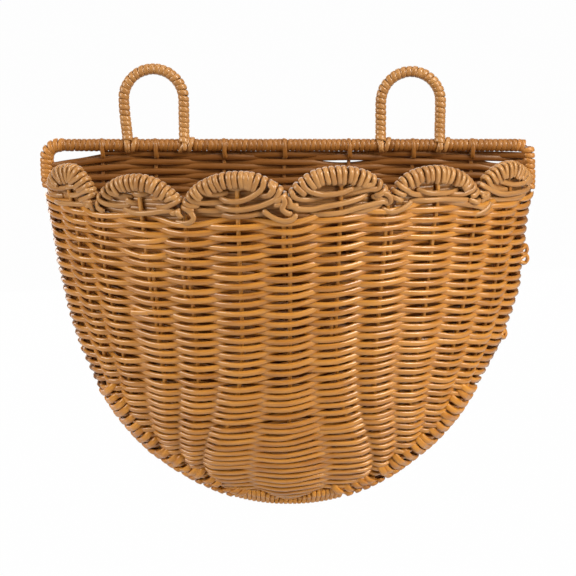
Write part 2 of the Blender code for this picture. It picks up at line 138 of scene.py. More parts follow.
def settle(points):
    """The bent hoop of the photographed basket: pressed in higher up and standing out lower down."""
    moved = np.array(points, float)
    x, h = moved[:, 0].copy(), moved[:, 2]
    pinch, push = np.interp(-h, *PINCH_LEFT), np.interp(-h, *PUSH_RIGHT)
    moved[:, 0] += pinch * side_share(-x, 0.16) + push * side_share(x, 0.16)
    left, right = np.interp(-h, *FLARE_LEFT), np.interp(-h, *FLARE_RIGHT)
    moved[:, 0] += right * side_share(x, 0.10) - left * side_share(-x, 0.10)
    return moved


def catmull(points, normals, step):
    """A smooth line through key points, with its normals, sampled about every step."""
    table = np.hstack([np.asarray(points, float), np.asarray(normals, float)])
    table = np.vstack([2 * table[0] - table[1], table, 2 * table[-1] - table[-2]])
    out = []
    for k in range(1, len(table) - 2):
        p0, p1, p2, p3 = table[k - 1:k + 3]
        count = max(2, int(round(np.linalg.norm(p2[:3] - p1[:3]) / step)))
        t = np.linspace(0, 1, count, endpoint=False)[:, None]
        out.append(0.5 * (2 * p1 + (p2 - p0) * t + (2 * p0 - 5 * p1 + 4 * p2 - p3) * t**2
                          + (3 * p1 - p0 - 3 * p2 + p3) * t**3))
    out.append(table[-2][None])
    out = np.vstack(out)
    return out[:, :3], unit(out[:, 3:])


class Line:
    """A polyline read by length along it."""

    def __init__(self, points):
        self.points = np.asarray(points, float)
        self.marks = marks_along(self.points)
        self.length = self.marks[-1]
        self.tangents = unit(np.gradient(self.points, axis=0))

    def read(self, s, values):
        return np.stack([np.interp(s, self.marks, values[:, k]) for k in range(3)], -1)

    def at(self, s):
        return self.read(s, self.points)

    def tangent(self, s):
        return unit(self.read(s, self.tangents))


class Tubes:
    """Gathers strands into one mesh. Each strand keeps its own tint and its own lengthwise grain."""

    def __init__(self, name, material, slot, nodes, sides=10):
        self.name, self.material, self.slot, self.nodes, self.sides = name, material, slot, nodes, sides
        self.verts, self.faces, self.grain, self.tint, self.count = [], [], [], [], 0

    def add(self, points, normals, size, tint=None, taper=0.0):
        """A strand along points; size is half its width and half its thickness along the normals."""
        points, normals = settle(points), np.asarray(normals, float)
        tangent = unit(np.gradient(points, axis=0))
        thick = unit(normals - tangent * (normals * tangent).sum(1, keepdims=True))
        wide = np.cross(tangent, thick)
        n, m = len(points), self.sides
        angle = 2 * PI * np.arange(m) / m
        c, s = (np.sign(v) * np.abs(v) ** ROUNDNESS for v in (np.cos(angle), np.sin(angle)))
        half_wide, half_thick = size
        length = marks_along(points)
        ends = np.ones(n)
        if taper:
            edge = np.minimum(length, length[-1] - length) / taper
            ends = np.sqrt(np.clip(edge * (2 - edge), 0.02, 1) * (edge < 1) + (edge >= 1))
        across, above = (c * half_wide)[None, :, None], (s * half_thick)[None, :, None]
        ring = wide[:, None] * across + thick[:, None] * above
        ring = points[:, None] + ring * ends[:, None, None]
        self.verts.append(ring.reshape(-1, 3))
        tint = rng.random() if tint is None else tint
        shift = rng.random() * 3
        grain = np.empty((n, m, 3))
        grain[..., 0] = (c * half_wide)[None]
        grain[..., 1] = (s * half_thick)[None] + shift
        grain[..., 2] = length[:, None] + shift
        self.grain.append(grain.reshape(-1, 3))
        self.tint.append(np.full(n * m, tint))
        base = self.count
        row, side = np.meshgrid(np.arange(n - 1), np.arange(m), indexing="ij")
        after = (side + 1) % m
        quads = np.stack([row * m + side, row * m + after, (row + 1) * m + after, (row + 1) * m + side], -1)
        self.faces += (quads.reshape(-1, 4) + base).tolist()
        self.faces.append((base + np.arange(m)[::-1]).tolist())
        self.faces.append((base + (n - 1) * m + np.arange(m)).tolist())
        self.count += n * m

    def build(self):
        mesh = bpy.data.meshes.new(self.name)
        verts = np.vstack(self.verts) + (0, 0, BAR_Z)
        mesh.from_pydata(verts.tolist(), [], self.faces)
        grain = mesh.attributes.new("grain", "FLOAT_VECTOR", "POINT")
        grain.data.foreach_set("vector", np.vstack(self.grain).astype(np.float32).ravel())
        tint = mesh.attributes.new("tint", "FLOAT", "POINT")
        tint.data.foreach_set("value", np.concatenate(self.tint).astype(np.float32))
        mesh.materials.append(self.material)
        mesh.shade_smooth()
        mesh.set_sharp_from_angle(angle=math.radians(60))
        piece = bpy.data.objects.new(self.name, mesh)
        bpy.context.scene.collection.objects.link(piece)
        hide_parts(*self.nodes)
        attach(piece, "root")


# The hoop and the front surface
BAR_STEPS = 60
CORNER_STEPS = 9


def half_width(h, bottom):
    drop = np.clip((-CORNER - h) / (-CORNER - bottom), 0, 1)
    return HALF * (1 - drop**HOOP_POWER) ** (1 / HOOP_POWER)


def hoop_height(x, bottom=HOOP_BOTTOM):
    share = np.clip(np.abs(x) / HALF, 0, 1)
    return -CORNER - (-CORNER - bottom) * (1 - share**HOOP_POWER) ** (1 / HOOP_POWER)


def hoop_line():
    """The hoop's centre line from the middle of the bar, clockwise seen from the front."""
    right = [(x, 0.0) for x in np.linspace(0, HALF - CORNER, BAR_STEPS)]
    right += [(HALF - CORNER + CORNER * math.sin(a), -CORNER + CORNER * math.cos(a))
              for a in np.linspace(0, PI / 2, CORNER_STEPS + 1)[1:]]
    for a in np.linspace(0, PI / 2, 160)[1:]:
        x = HALF * math.cos(a) ** (2 / HOOP_POWER)
        z = -CORNER - (-HOOP_BOTTOM - CORNER) * math.sin(a) ** (2 / HOOP_POWER)
        right.append((x, z))
    ring = right + [(-x, z) for x, z in right[-2::-1]]
    return np.array([(x, HOOP_Y, z) for x, z in ring])


hoop = Line(hoop_line())


def hoop_mark(side, h):
    """The length along the hoop of the point at a height on one side, -1 or 1."""
    half = len(hoop.points) // 2
    z = hoop.points[:, 2]
    if side > 0:
        return float(np.interp(-h, -z[BAR_STEPS:half + 1], hoop.marks[BAR_STEPS:half + 1]))
    return float(np.interp(h, z[half:-BAR_STEPS], hoop.marks[half:-BAR_STEPS]))


def hoop_outward(centre, tangent):
    """The direction away from the basket's middle, across the hoop, at points along it."""
    outer = unit(np.cross(tangent, BACK))
    return outer * np.sign((outer * (centre - (0, HOOP_Y, -0.1))).sum(-1, keepdims=True))


def lean(x, h):
    """How far the photographed basket's rows and rim stand above a level line."""
    wave = np.sin(PI * np.clip(x / 0.160, -1, 1))
    low = np.clip((h - FRONT_BOTTOM) / 0.045, 0, 1)
    return (np.interp(-h, *LEAN_SIZE) * wave + np.interp(-h, *LEAN_LIFT) * wave**2) * low


def wall_point(theta, h):
    """A point on the middle of the front panel: theta runs from -90 to 90 degrees across it."""
    width = half_width(h, FRONT_BOTTOM)
    s, c = np.sin(theta), np.cos(theta)
    x = width * np.sign(s) * np.abs(s) ** (2 / PLAN_POWER)
    rise = np.clip((h - FRONT_BOTTOM) / (-RIM_DROP - FRONT_BOTTOM), 0, 2)
    out = DEPTH * rise**PROFILE_POWER * np.clip(c, 0, 1) ** (2 / PLAN_POWER)
    return np.stack([x, HOOP_Y - out, h * np.ones_like(x)], -1)


def wall_frame(theta, h):
    """A point on the middle of the front panel and the outward direction there."""
    theta = np.clip(theta, -PI / 2 + 2e-3, PI / 2 - 2e-3)
    turn, rise = 1e-3, 2e-4
    after, before = (wall_point(np.clip(theta + by, -PI / 2, PI / 2), h) for by in (turn, -turn))
    down = wall_point(theta, h - rise) - wall_point(theta, h + rise)
    return wall_point(theta, h), unit(np.cross(down, after - before))


def theta_of(x, h):
    share = np.clip(np.abs(x) / np.maximum(half_width(h, FRONT_BOTTOM), 1e-6), 0, 1)
    return np.sign(x) * np.arcsin(np.clip(share ** (PLAN_POWER / 2), 0, 1))


def wall_at(x, h, out=0.0):
    """A place on the front wall, out in front of it, and the outward direction there."""
    points, normals = wall_frame(theta_of(x, h), h)
    return points + normals * np.broadcast_to(out, np.shape(x))[..., None], normals


def wall_places(places, out=0.0):
    """The same for a row of places (across, height) in millimetres."""
    x, h = np.array(places, float).T / 1000
    return wall_at(x, h, out)


def bulge(outs, count):
    """Distances in front of the wall along a strand, in metres, from evenly spaced ones in millimetres."""
    return np.interp(np.linspace(0, 1, count), np.linspace(0, 1, len(outs)), outs) / 1000


def wall_strand(line, outs, step=0.0010):
    """A smooth strand through places on the front wall, at the given distances in front of it."""
    return catmull(*wall_places(line, bulge(outs, len(line))), step)


# Stakes
def stake_tables():
    """Each front stake: its side, its share of the half width at the rim, its foot and its top height."""
    stakes = []
    for sign, tops in ((-1, LEFT_TOPS), (1, RIGHT_TOPS)):
        for (across, height), hoop_share in zip(tops, HOOP_SHARES):
            end = float(hoop_height(hoop_share * HALF, FRONT_BOTTOM))
            stakes.append((sign, across / HALF, end, height))
    stakes.append((1, MIDDLE_TOP[0] / HALF, FRONT_BOTTOM, MIDDLE_TOP[1]))
    return sorted(stakes, key=lambda item: item[0] * item[1])


STAKES = stake_tables()


def stake_x(stake, h):
    sign, top, end, _ = stake
    t = np.clip((-RIM_DROP - h) / (-RIM_DROP - end), 0, 1)
    return sign * (top + ((1 - top) * t**5 if top > 0.01 else 0)) * half_width(h, FRONT_BOTTOM)


def phase_of(x, h):
    """Counts the stakes from the left side of the hoop (0) to its right side (12) along a row."""
    edge = half_width(h, FRONT_BOTTOM)
    out = np.empty_like(x)
    places = np.stack([stake_x(stake, h) for stake in STAKES], -1)
    ends = np.array([stake[2] for stake in STAKES])
    for k in range(len(x)):
        live = np.flatnonzero(h[k] > ends + 0.002)
        if len(live) == 0:
            out[k] = 6
            continue
        marks = np.concatenate([[-edge[k] - 1e-5], places[k, live], [edge[k] + 1e-5]])
        out[k] = np.interp(x[k], marks, np.concatenate([[live[0]], live + 1, [live[-1] + 2]]))
    return out


# Materials
STREAK_SCALE = (2600, 2600, 60)
BLOTCH_SCALE = (300, 300, 55)


def fill(tree, node, inputs):
    """Sets input sockets of a node, each to a value or to a link from another node's output."""
    for key, value in inputs.items():
        if isinstance(value, bpy.types.NodeSocket):
            tree.links.new(value, node.inputs[key])
        else:
            node.inputs[key].default_value = value


def add_node(tree, kind, inputs, **settings):
    node = tree.nodes.new("ShaderNode" + kind)
    for key, value in settings.items():
        setattr(node, key, value)
    fill(tree, node, inputs)
    return node


def add_ramp(tree, value, *stops):
    """A colour ramp over a value, with a position and a colour for each end."""
    node = add_node(tree, "ValToRGB", {"Fac": value})
    for element, (position, colour) in zip(node.color_ramp.elements, stops):
        element.position = position
        element.color = (*colour, 1)
    return node.outputs["Color"]


def new_material(name):
    material = bpy.data.materials.new(name)
    material.use_nodes = True
    return material, material.node_tree


def rattan(name, dark, light, rough=0.31, coat=0.35, relief=0.22):
    """Moulded rattan strand: fine lengthwise streaks, a tint for each strand, a satin skin."""
    material, tree = new_material(name)
    grain = add_node(tree, "Attribute", {}, attribute_name="grain").outputs["Vector"]
    tint = add_node(tree, "Attribute", {}, attribute_name="tint").outputs["Fac"]

    def noise(scale, **inputs):
        place = add_node(tree, "VectorMath", {0: grain, 1: scale}, operation="MULTIPLY").outputs[0]
        return add_node(tree, "TexNoise", {"Vector": place, "Scale": 1.0, **inputs}).outputs["Fac"]

    def sum_of(first, second, share=1.0):
        part = add_node(tree, "Math", {0: second, 1: share}, operation="MULTIPLY").outputs[0]
        return add_node(tree, "Math", {0: first, 1: part}, operation="ADD").outputs[0]

    streaks = noise(STREAK_SCALE, Detail=3.0, Roughness=0.6)
    blotches = noise(BLOTCH_SCALE, Detail=2.0)
    strong = add_node(tree, "Math", {0: streaks, 1: 0.75}, operation="MULTIPLY").outputs[0]
    mix = sum_of(sum_of(strong, blotches, 0.55), tint, 0.34)
    roughness = add_node(tree, "MapRange", {"Value": streaks, "From Min": 0.3, "From Max": 0.7,
                                            "To Min": rough - 0.07, "To Max": rough + 0.10})
    bump = add_node(tree, "Bump", {"Height": streaks, "Strength": relief, "Distance": 0.00012})
    fill(tree, tree.nodes["Principled BSDF"], {
        "Base Color": add_ramp(tree, mix, (0.42, dark), (1.0, light)),
        "Roughness": roughness.outputs["Result"],
        "Normal": bump.outputs["Normal"],
        "Specular IOR Level": 0.50,
        "Specular Tint": (1.0, 0.84, 0.60, 1),
        "Coat Weight": coat,
        "Coat Roughness": 0.17,
    })
    return material


def steel(name):
    """Lacquered wire, seen only in the gaps between turns."""
    material, tree = new_material(name)
    place = add_node(tree, "TexCoord", {}).outputs["Object"]
    noise = add_node(tree, "TexNoise", {"Vector": place, "Scale": 900}).outputs["Fac"]
    colour = add_ramp(tree, noise, (0.0, (0.10, 0.040, 0.012)), (1.0, (0.20, 0.085, 0.022)))
    fill(tree, tree.nodes["Principled BSDF"], {"Base Color": colour, "Roughness": 0.45})
    return material


weave_look = rattan("woven rattan strand", (0.238, 0.064, 0.0040), (0.540, 0.220, 0.031), 0.30, 0.65)
wound_look = rattan("wound rattan strand", (0.208, 0.067, 0.010), (0.438, 0.206, 0.060), 0.36, 0.32, 0.10)
# The bar's turns, and the back's stakes and ties: the same rattan painted darker, as painted shade on them
bar_painted_shade_look = rattan("bar rattan strand with painted shade", (0.120, 0.033, 0.004), (0.298, 0.112, 0.019), 0.42, 0.18, 0.14)
corner_look = rattan("corner rattan strand", (0.215, 0.062, 0.006), (0.450, 0.182, 0.036), 0.40, 0.15)
# The back's strands: the same rattan painted much darker, as painted shade for the shadow inside the basket
back_painted_shade_look = rattan("back rattan strand with painted shade", (0.098, 0.026, 0.002), (0.203, 0.070, 0.011), 0.45, 0.05)
# The seam's strands: the same rattan painted lighter and more saturated, as painted light on turns that face
# down and out and get little lamp light
seam_painted_light_look = rattan("seam rattan strand with painted light", (0.285, 0.080, 0.004), (0.620, 0.250, 0.028), 0.38, 0.20)
stake_look = rattan("stake strand", (0.250, 0.080, 0.008), (0.520, 0.225, 0.040))
wire_look = steel("lacquered wire")

# Front rows
ROW_SAMPLES = 500
TURN_SAMPLES = 9
ROW_STEP = 0.0019
ROW_SWING = 0.0027
ROW_FLOOR = FRONT_BOTTOM + 0.0004
# A row's own unevenness and the one it shares: size, samples between bends, first seed
ROW_UNEVEN = ((0.00026, 34, 100), (0.00042, 80, 5))
ROW_SAG = 0.0019  # of the top row between stakes
ROW_SAG_FADE = 3.0  # rows
ROW_LIFT = 0.0003  # a row runs this much lower in front of a stake and higher behind it
ROW_EDGE = 0.012  # length at each end over which a row comes in to the hoop's wire
# Cut ends that stand out of the front: places across and height in millimetres, from the cut end
CUT_ENDS = (
    ((-100.1, -51.8), (-94.1, -51.2), (-87.9, -50.5), (-82.3, -49.8), (-74.5, -48.0)),
    ((-94.6, -60.8), (-88.4, -60.5), (-81.7, -59.8), (-76.3, -58.9)),
    ((-102.3, -100.8), (-96.4, -100.4), (-90.1, -99.7), (-84.6, -98.8)),
)
# Slack turns on the right edge: the height and how far each stands out, and how near a row's end must be
LOOSE_TURNS = ((-0.0700, 0.0044), (-0.0765, 0.0060), (-0.1290, 0.0045))
LOOSE_NEAR = 0.0030
# Second stakes pushed in beside some of the first: stake, distance to the side, upper and lower end
DOUBLES = ((1, 0.0036, -0.036, -0.056), (2, 0.0030, -0.068, -0.120), (3, -0.0040, -0.060, -0.090),
           (5, -0.0038, -0.033, -0.054), (7, 0.0036, -0.040, -0.062), (6, -0.0030, -0.098, -0.116))


def soft_noise(seed, count, spacing):
    """A smooth line of random values about 0, one for each of count places."""
    keys = np.random.default_rng(seed).normal(size=max(4, int(count / spacing) + 4))
    t = np.linspace(0, len(keys) - 3.001, count)
    k = t.astype(int)
    f = smooth(t - k)
    return keys[k] * (1 - f) + keys[k + 1] * f


def uneven(number, count, own, shared):
    """How a row wanders up and down, by itself and together with the rows next to it.

    Each of the two is a size, the samples from one bend to the next, and a first seed.
    """
    size, spacing, seed = own
    size_shared, spacing_shared, seed_shared = shared
    together = soft_noise(seed_shared + number // 4, count, spacing_shared)
    return size * soft_noise(seed + number, count, spacing) + size_shared * together


def row_levels():
    """Heights of the front rows at the middle of the basket, from the rim's valleys down."""
    h = np.linspace(-RIM_DROP, FRONT_BOTTOM + 0.0003, 3000)
    arc = marks_along(wall_point(np.zeros_like(h), h))
    levels, at = [], 0.0069
    while at < arc[-1] - 0.001:
        levels.append(float(np.interp(at, arc, h)))
        at += np.interp(at, (0.055, arc[-1]), (ROW_PITCH_TOP, ROW_PITCH_LOW))
    return levels


def front_row(number, level):
    """One weaver across the front, from left to right: its points, normals and heights."""
    theta = np.linspace(-PI / 2 + 0.004, PI / 2 - 0.004, ROW_SAMPLES)
    wobble = uneven(number, ROW_SAMPLES, *ROW_UNEVEN)
    h = np.full_like(theta, level)
    for _ in range(4):
        h = np.maximum(level + lean(wall_point(theta, h)[:, 0], level) + wobble, ROW_FLOOR)
    marks = marks_along(wall_point(theta, h))
    even = np.linspace(0, marks[-1], max(12, int(marks[-1] / ROW_STEP)))
    from_end = np.minimum(even, marks[-1] - even)
    theta, h = np.interp(even, marks, theta), np.interp(even, marks, h)
    phase = phase_of(wall_point(theta, h)[:, 0], h)
    sag = ROW_SAG * math.exp(-number / ROW_SAG_FADE) * (0.5 + 0.5 * np.cos(PI * phase))
    h = h - sag * np.clip(from_end / 0.02, 0, 1)
    swing = np.cos(PI * (phase + number))
    h = np.maximum(h - ROW_LIFT * swing, ROW_FLOOR)
    point, normal = wall_frame(theta, h)
    edge = np.clip(from_end / ROW_EDGE, 0, 1)
    out = swing * (ROW_SWING * edge + (HOOP_WIRE + WEAVER[1]) * (1 - edge))
    return point + normal * out[:, None], normal, h


def hoop_turn(side, h_from, h_to, start, middle, radius):
    """Half a turn round the hoop's wire from one direction through another, between two heights."""
    s = np.linspace(hoop_mark(side, h_from), hoop_mark(side, h_to), TURN_SAMPLES)
    centre = hoop.at(s)
    outer = hoop_outward(centre, hoop.tangent(s))
    ways = {"outer": outer, "inner": -outer, "back": BACK + 0 * outer, "front": FRONT + 0 * outer}
    angle = np.linspace(0, PI, TURN_SAMPLES)[:, None]
    way = np.cos(angle) * ways[start] + np.sin(angle) * ways[middle]
    return centre + radius * way, way


def loose_loop(front, rear, reach):
    """A slack turn at the edge: it stands out past the hoop as an open ring between two rows."""
    x, middle = max(front[0], rear[0]), (front[2] + rear[2]) / 2
    near, far = x + 0.25 * reach, x + 0.70 * reach
    points = np.array([front, (near, front[1] + 0.001, front[2] + 0.0011),
                       (far, HOOP_Y - 0.001, middle + 0.0033), (x + reach, HOOP_Y, middle),
                       (far, HOOP_Y + 0.001, middle - 0.0033), (near, rear[1], rear[2] - 0.0011), rear])
    ways = unit(points - (x + 0.35 * reach, HOOP_Y, middle))
    ways[:, 1] = 0
    return catmull(points, unit(ways), 0.0010)


def join_turn(row, turn, side):
    """The points and normals of a row whose end on one side goes over into a turn round the hoop."""
    if side > 0:
        return [np.vstack([part[:-2], bend]) for part, bend in zip(row, turn)]
    return [np.vstack([bend[::-1], part[2:]]) for part, bend in zip(row, turn)]


def build_front_rows():
    rows = Tubes("front_rows", weave_look, "woven_strand", ["front_weave"])
    for line in CUT_ENDS:
        rows.add(*wall_strand(line, (3.1, 3.0, 2.6, -0.5), 0.0012), CUT_STRAND, tint=0.9, taper=0.0004)
    made = [front_row(number, level) for number, level in enumerate(row_levels())]
    radius = HOOP_WIRE + WEAVER[1] + SLACK
    for number, (points, normals, heights) in enumerate(made):
        if number + 1 < len(made):
            side, end = (1, -1) if number % 2 == 0 else (-1, 0)
            own, following = heights[end], made[number + 1][2][end]
            if min(own, following) > SEAM_FROM:
                start = "outer" if side > 0 else "inner"
                turn = hoop_turn(side, own, following, start, "back", radius * drawn(1.0, 0.10))
                for height, reach in LOOSE_TURNS:
                    if side > 0 and abs(own - height) < LOOSE_NEAR:
                        turn = loose_loop(points[-3], made[number + 1][0][-3], reach)
                points, normals = join_turn((points, normals), turn, side)
        broad = 1 + 0.06 * rng.normal()
        rows.add(points, normals, (WEAVER[0] * broad, WEAVER[1]), tint=drawn(0.30, 0.6))
    rows.build()


def build_front_stakes():
    nodes = [f"front_stake_{k:02d}" for k in range(1, 12)]
    rods = Tubes("front_stakes", stake_look, "stake", nodes, sides=8)
    for stake in STAKES:
        h = np.linspace(stake[3], stake[2] + 0.002, 70)
        rods.add(*wall_at(stake_x(stake, h), h), (STAKE, STAKE))
    for number, shift, high, low in DOUBLES:
        h = np.linspace(high, low, 14)
        rods.add(*wall_at(stake_x(STAKES[number], h) + shift, h), (STAKE, STAKE), taper=0.001)
    rods.build()


# The scalloped rim
WRAP_PITCH = 0.0035
# The six arches from left to right. Each has its wire's line, then how far the turns over the wire
# reach inside at the crown, then the strands inside it; a line is a row of places on the front wall
# (across, height) in millimetres. A strand has 1 where its first place goes round the wire, else 0,
# then its distances in front of the wall from start to end.
ARCHES = (
    (((-155.8, -24.6), (-153.4, -20.8), (-151.4, -17.7), (-148.7, -14.4), (-144.4, -12.6), (-139.8, -11.4),
      (-135.9, -11.6), (-133.5, -13.0), (-131.6, -15.4), (-129.5, -17.2), (-127.4, -20.7), (-125.6, -24.5),
      (-124.8, -28.5), (-124.9, -33.2)), 8.2, (
        (0, (2.2, 2.6, -0.5), ((-156.4, -21.1), (-155.8, -23.5), (-151.5, -24.6), (-145.6, -23.9),
         (-140.3, -21.6))),
        (0, (1.5, 2.6, 1.0), ((-142.1, -22.4), (-138.7, -21.3), (-135, -20.4))),
        (1, (3.0, 2.8, -1.5), ((-121.8, -20.1), (-125.4, -21.5), (-129.9, -23.5), (-134.4, -26),
         (-140.4, -27.6), (-145.2, -27.8))),
        (1, (3.0, 2.6, 1.2), ((-120.3, -23.8), (-125.5, -25.9), (-130.3, -28.3), (-133.9, -30))),
        (0, (-1.0, 2.6, -2.0), ((-160.4, -27), (-157.8, -29.6), (-153.6, -30.2), (-148.6, -30.2))),
        (0, (-1.0, 2.4, -1.0), ((-160.4, -32), (-158.6, -34.6), (-154, -34.6), (-147.9, -34.2),
         (-140.9, -33.4), (-134.5, -32.7), (-128.2, -31.1))),
    )),
    (((-119.7, -35.2), (-118.6, -31), (-116.9, -26.4), (-113.7, -22.2), (-109.7, -18.5), (-105.4, -15.9),
      (-100.5, -14), (-95.8, -13), (-91.1, -12.6), (-86.5, -13.1), (-81.9, -14.5), (-78.1, -16.5),
      (-74.3, -19.1), (-70.5, -22.1), (-68.1, -25.2), (-66.7, -29.1)), 5.4, (
        (1, (3.0, 1.5, -2.0), ((-112, -17.1), (-110.8, -20.6), (-107.1, -22.2), (-102.3, -23),
         (-97.3, -24.2))),
        (1, (3.0, 2.2, 0.5), ((-115.4, -20.8), (-113.4, -23.6), (-109.8, -25.5))),
        (1, (3.0, 1.0, -2.4), ((-70.6, -15.9), (-75.3, -19.2), (-80.3, -22.1), (-85.6, -24))),
        (0, (1.0, 0.8, -2.7, -2.9, -3.4), ((-101.1, -24.3), (-97.2, -26.6), (-92.6, -27.5), (-87.3, -27.5),
         (-80.2, -25.1))),
        (1, (3.0, 2.6, 1.0), ((-68.5, -19), (-71.8, -21), (-76.1, -23.2))),
        (1, (3.0, 2.0, -2.0), ((-66.1, -21.9), (-70.6, -24.8), (-76.7, -27.8), (-82.8, -29.4))),
        (1, (3.0, 1.5, -2.4), ((-118.7, -24.3), (-117.5, -27.5), (-113.5, -29.3), (-107.3, -29.9),
         (-99.6, -29.3))),
        (0, (-2.0, 2.6, 0.6), ((-105.4, -31.5), (-100, -32.9), (-93.2, -32.9), (-85, -31.6), (-77.6, -30.1),
         (-69.7, -29.4))),
        (1, (3.0, 3.0, 2.0), ((-120.5, -28.5), (-119.7, -31.8), (-117, -33.6), (-116.1, -34.7))),
        (0, (-2.0, 1.6, -2.0), ((-98.8, -19.3), (-94.8, -20.6), (-90.8, -20.9), (-86.8, -19.8))),
    )),
    (((-61.9, -30.6), (-61.2, -26.1), (-59.5, -22.3), (-56.8, -18.5), (-52.3, -14.2), (-47.9, -11.7),
      (-42.7, -9.3), (-37.5, -7.8), (-31.6, -7.0), (-25.6, -7.0), (-20.6, -7.6), (-15.6, -9.4),
      (-11.4, -11.9), (-7.2, -14.6), (-4.3, -19.1), (-2.6, -25.3)), 5.6, (
        (1, (3.0, 2.4, -1.5), ((-52.7, -12), (-51.3, -14.8), (-47.6, -16.6), (-42, -17), (-36.4, -16.2))),
        (0, (-1.5, 0.4, -1.5), ((-36.8, -13.5), (-30.8, -12.9), (-24, -12.3))),
        (1, (3.0, 2.8, 2.7, 2.7, 2.6, -1.8), ((-14.3, -7), (-15.4, -11.1), (-19, -14.9), (-24.1, -18.2),
         (-30.1, -20.2), (-36.9, -20.5), (-42.9, -19.3))),
        (1, (3.0, 1.6, -2.4), ((-60.3, -18.6), (-58.2, -21.5), (-52.1, -22.7), (-43.9, -22.8),
         (-36.1, -22.8))),
        (1, (3.0, 2.8, 2.7, 2.7, 2.6, -2.2), ((-6, -13.7), (-7.9, -17.8), (-13.6, -21.2), (-19.9, -23.6),
         (-28.5, -25.5), (-36.2, -25.8), (-45.7, -25.2))),
        (1, (3.0, 3.0, 0.5), ((-10.5, -9.2), (-9, -12), (-11, -15.2), (-14.6, -16.4), (-17.7, -15.3))),
        (1, (3.0, 2.6, 1.0), ((-62.6, -23), (-58.7, -24.8), (-53.6, -24.2))),
        (0, (-1.0, 1.0, -2.4), ((-63.2, -26.4), (-55.4, -27.9), (-46.6, -28.2), (-37.1, -28.2))),
        (0, (-2.0, 2.6, -1.0), ((-41.5, -31.2), (-32.9, -30.6), (-23.4, -29.4), (-13.2, -27.7))),
    )),
    (((1.6, -27.1), (1.8, -22.6), (2.7, -18.1), (5.4, -13.7), (8.7, -10.2), (12.9, -7.2), (17.9, -5),
      (23, -4), (28.9, -3.6), (34.8, -3.9), (40.8, -5.2), (46, -7.2), (50.4, -10.1), (53.9, -13.4),
      (57.5, -18.6), (59.9, -25.1)), 5.6, (
        (1, (3.0, 2.8, 2.6, 2.7, 2.6, 1.2), ((7.7, -7.1), (9.2, -10.7), (13.4, -13.7), (19.3, -15.4),
         (26.0, -15.4), (32.5, -14.4), (38.5, -12.4))),
        (1, (3.0, 1.6, -2.4), ((1.6, -13.7), (3.3, -16.8), (8.4, -18.7), (15.5, -19.3), (26.6, -18.5))),
        (1, (3.0, 2.8, 2.6, 2.6, 2.6, -1.5), ((0, -18.6), (1.6, -22.2), (6.3, -24.2), (13.5, -24.6),
         (19.8, -23.4), (30.9, -21.6), (41.1, -19.6), (48.4, -17.6))),
        (1, (3.0, 2.0, -2.0), ((51.1, -7.1), (49.5, -10.5), (43.5, -11.5), (37.6, -14.1), (33.3, -14.6))),
        (1, (3.0, 1.4, -2.4), ((55.7, -10), (53, -13.4), (47, -13.9), (41, -15.4), (35.9, -17.2),
         (30.8, -18.5))),
        (1, (3.0, 3.0, 0.5), ((61, -17), (59.3, -20.1), (55, -20.2), (49.7, -18.3))),
        (1, (3.0, 2.8, 2.6, 2.6, 2.6, -1.5), ((61.8, -21.6), (55.9, -21.8), (48.1, -23.4), (40.3, -25),
         (31.6, -27.2), (22.4, -28.2), (13, -29))),
        (0, (-1.5, 0.6, -1.5), ((28.1, -9.2), (31.5, -9.9), (35.3, -8.9))),
        (0, (-2.4, 2.2, 0.5), ((31, -30.2), (40.4, -28.6), (49, -26.2), (56.5, -23.9))),
    )),
    (((64.6, -24.5), (65, -20.9), (66.4, -17.5), (70, -12.6), (73.9, -9.9), (78.9, -7.9), (85, -6.9),
      (92.2, -7.1), (99.6, -9.0), (106.2, -11.7), (111.8, -16.5), (115.4, -21.6), (117.7, -27.6)), 5.4, (
        (1, (3.0, 1.6, -2.4), ((69.9, -10.8), (70.6, -14.9), (75.3, -18.6), (83, -20.6), (91.9, -21.6))),
        (0, (-1.5, 2.6, 2.6, 1.0, -1.5), ((78.4, -16.6), (84.4, -18.4), (91.8, -19.3), (99.1, -20.1),
         (106.6, -19.2))),
        (1, (3.0, 2.4, -1.0), ((116, -17), (113.3, -20), (107.8, -22), (99.2, -21.8))),
        (0, (-1.5, 2.6, 2.6, 2.0, -1.0), ((74.5, -24), (84.7, -23.2), (95.1, -23.5), (108, -25.6),
         (116.8, -27.5))),
        (0, (-1.5, 2.7, 2.6), ((91, -25.5), (104.8, -27.6), (116.9, -30.5), (125, -33.7))),
    )),
    (((120.7, -28), (120.8, -24.3), (122.2, -20.7), (125.7, -16.1), (130.6, -12.6), (136.3, -10.2),
      (143.6, -10.1), (150.2, -13.3), (154.9, -18.3), (158.6, -24.4)), 6, (
        (1, (3.0, 2.4, -1.5), ((124.1, -13.8), (127, -18.9), (133.5, -22.7), (142, -24.5))),
        (0, (-1.0, 2.6, -1.0), ((135.6, -17.8), (144.3, -21.2), (152.7, -21.1), (153.2, -17.8),
         (146.5, -15.8))),
        (1, (3.0, 2.6, 1.0), ((124.8, -21.4), (132.5, -24.6), (143.4, -26.5), (155.3, -27), (156.5, -23))),
        (0, (-1.5, 2.4, 0.5), ((125.8, -27.9), (137.5, -29.7), (150, -30.4), (156.3, -26.8))),
    )),
)
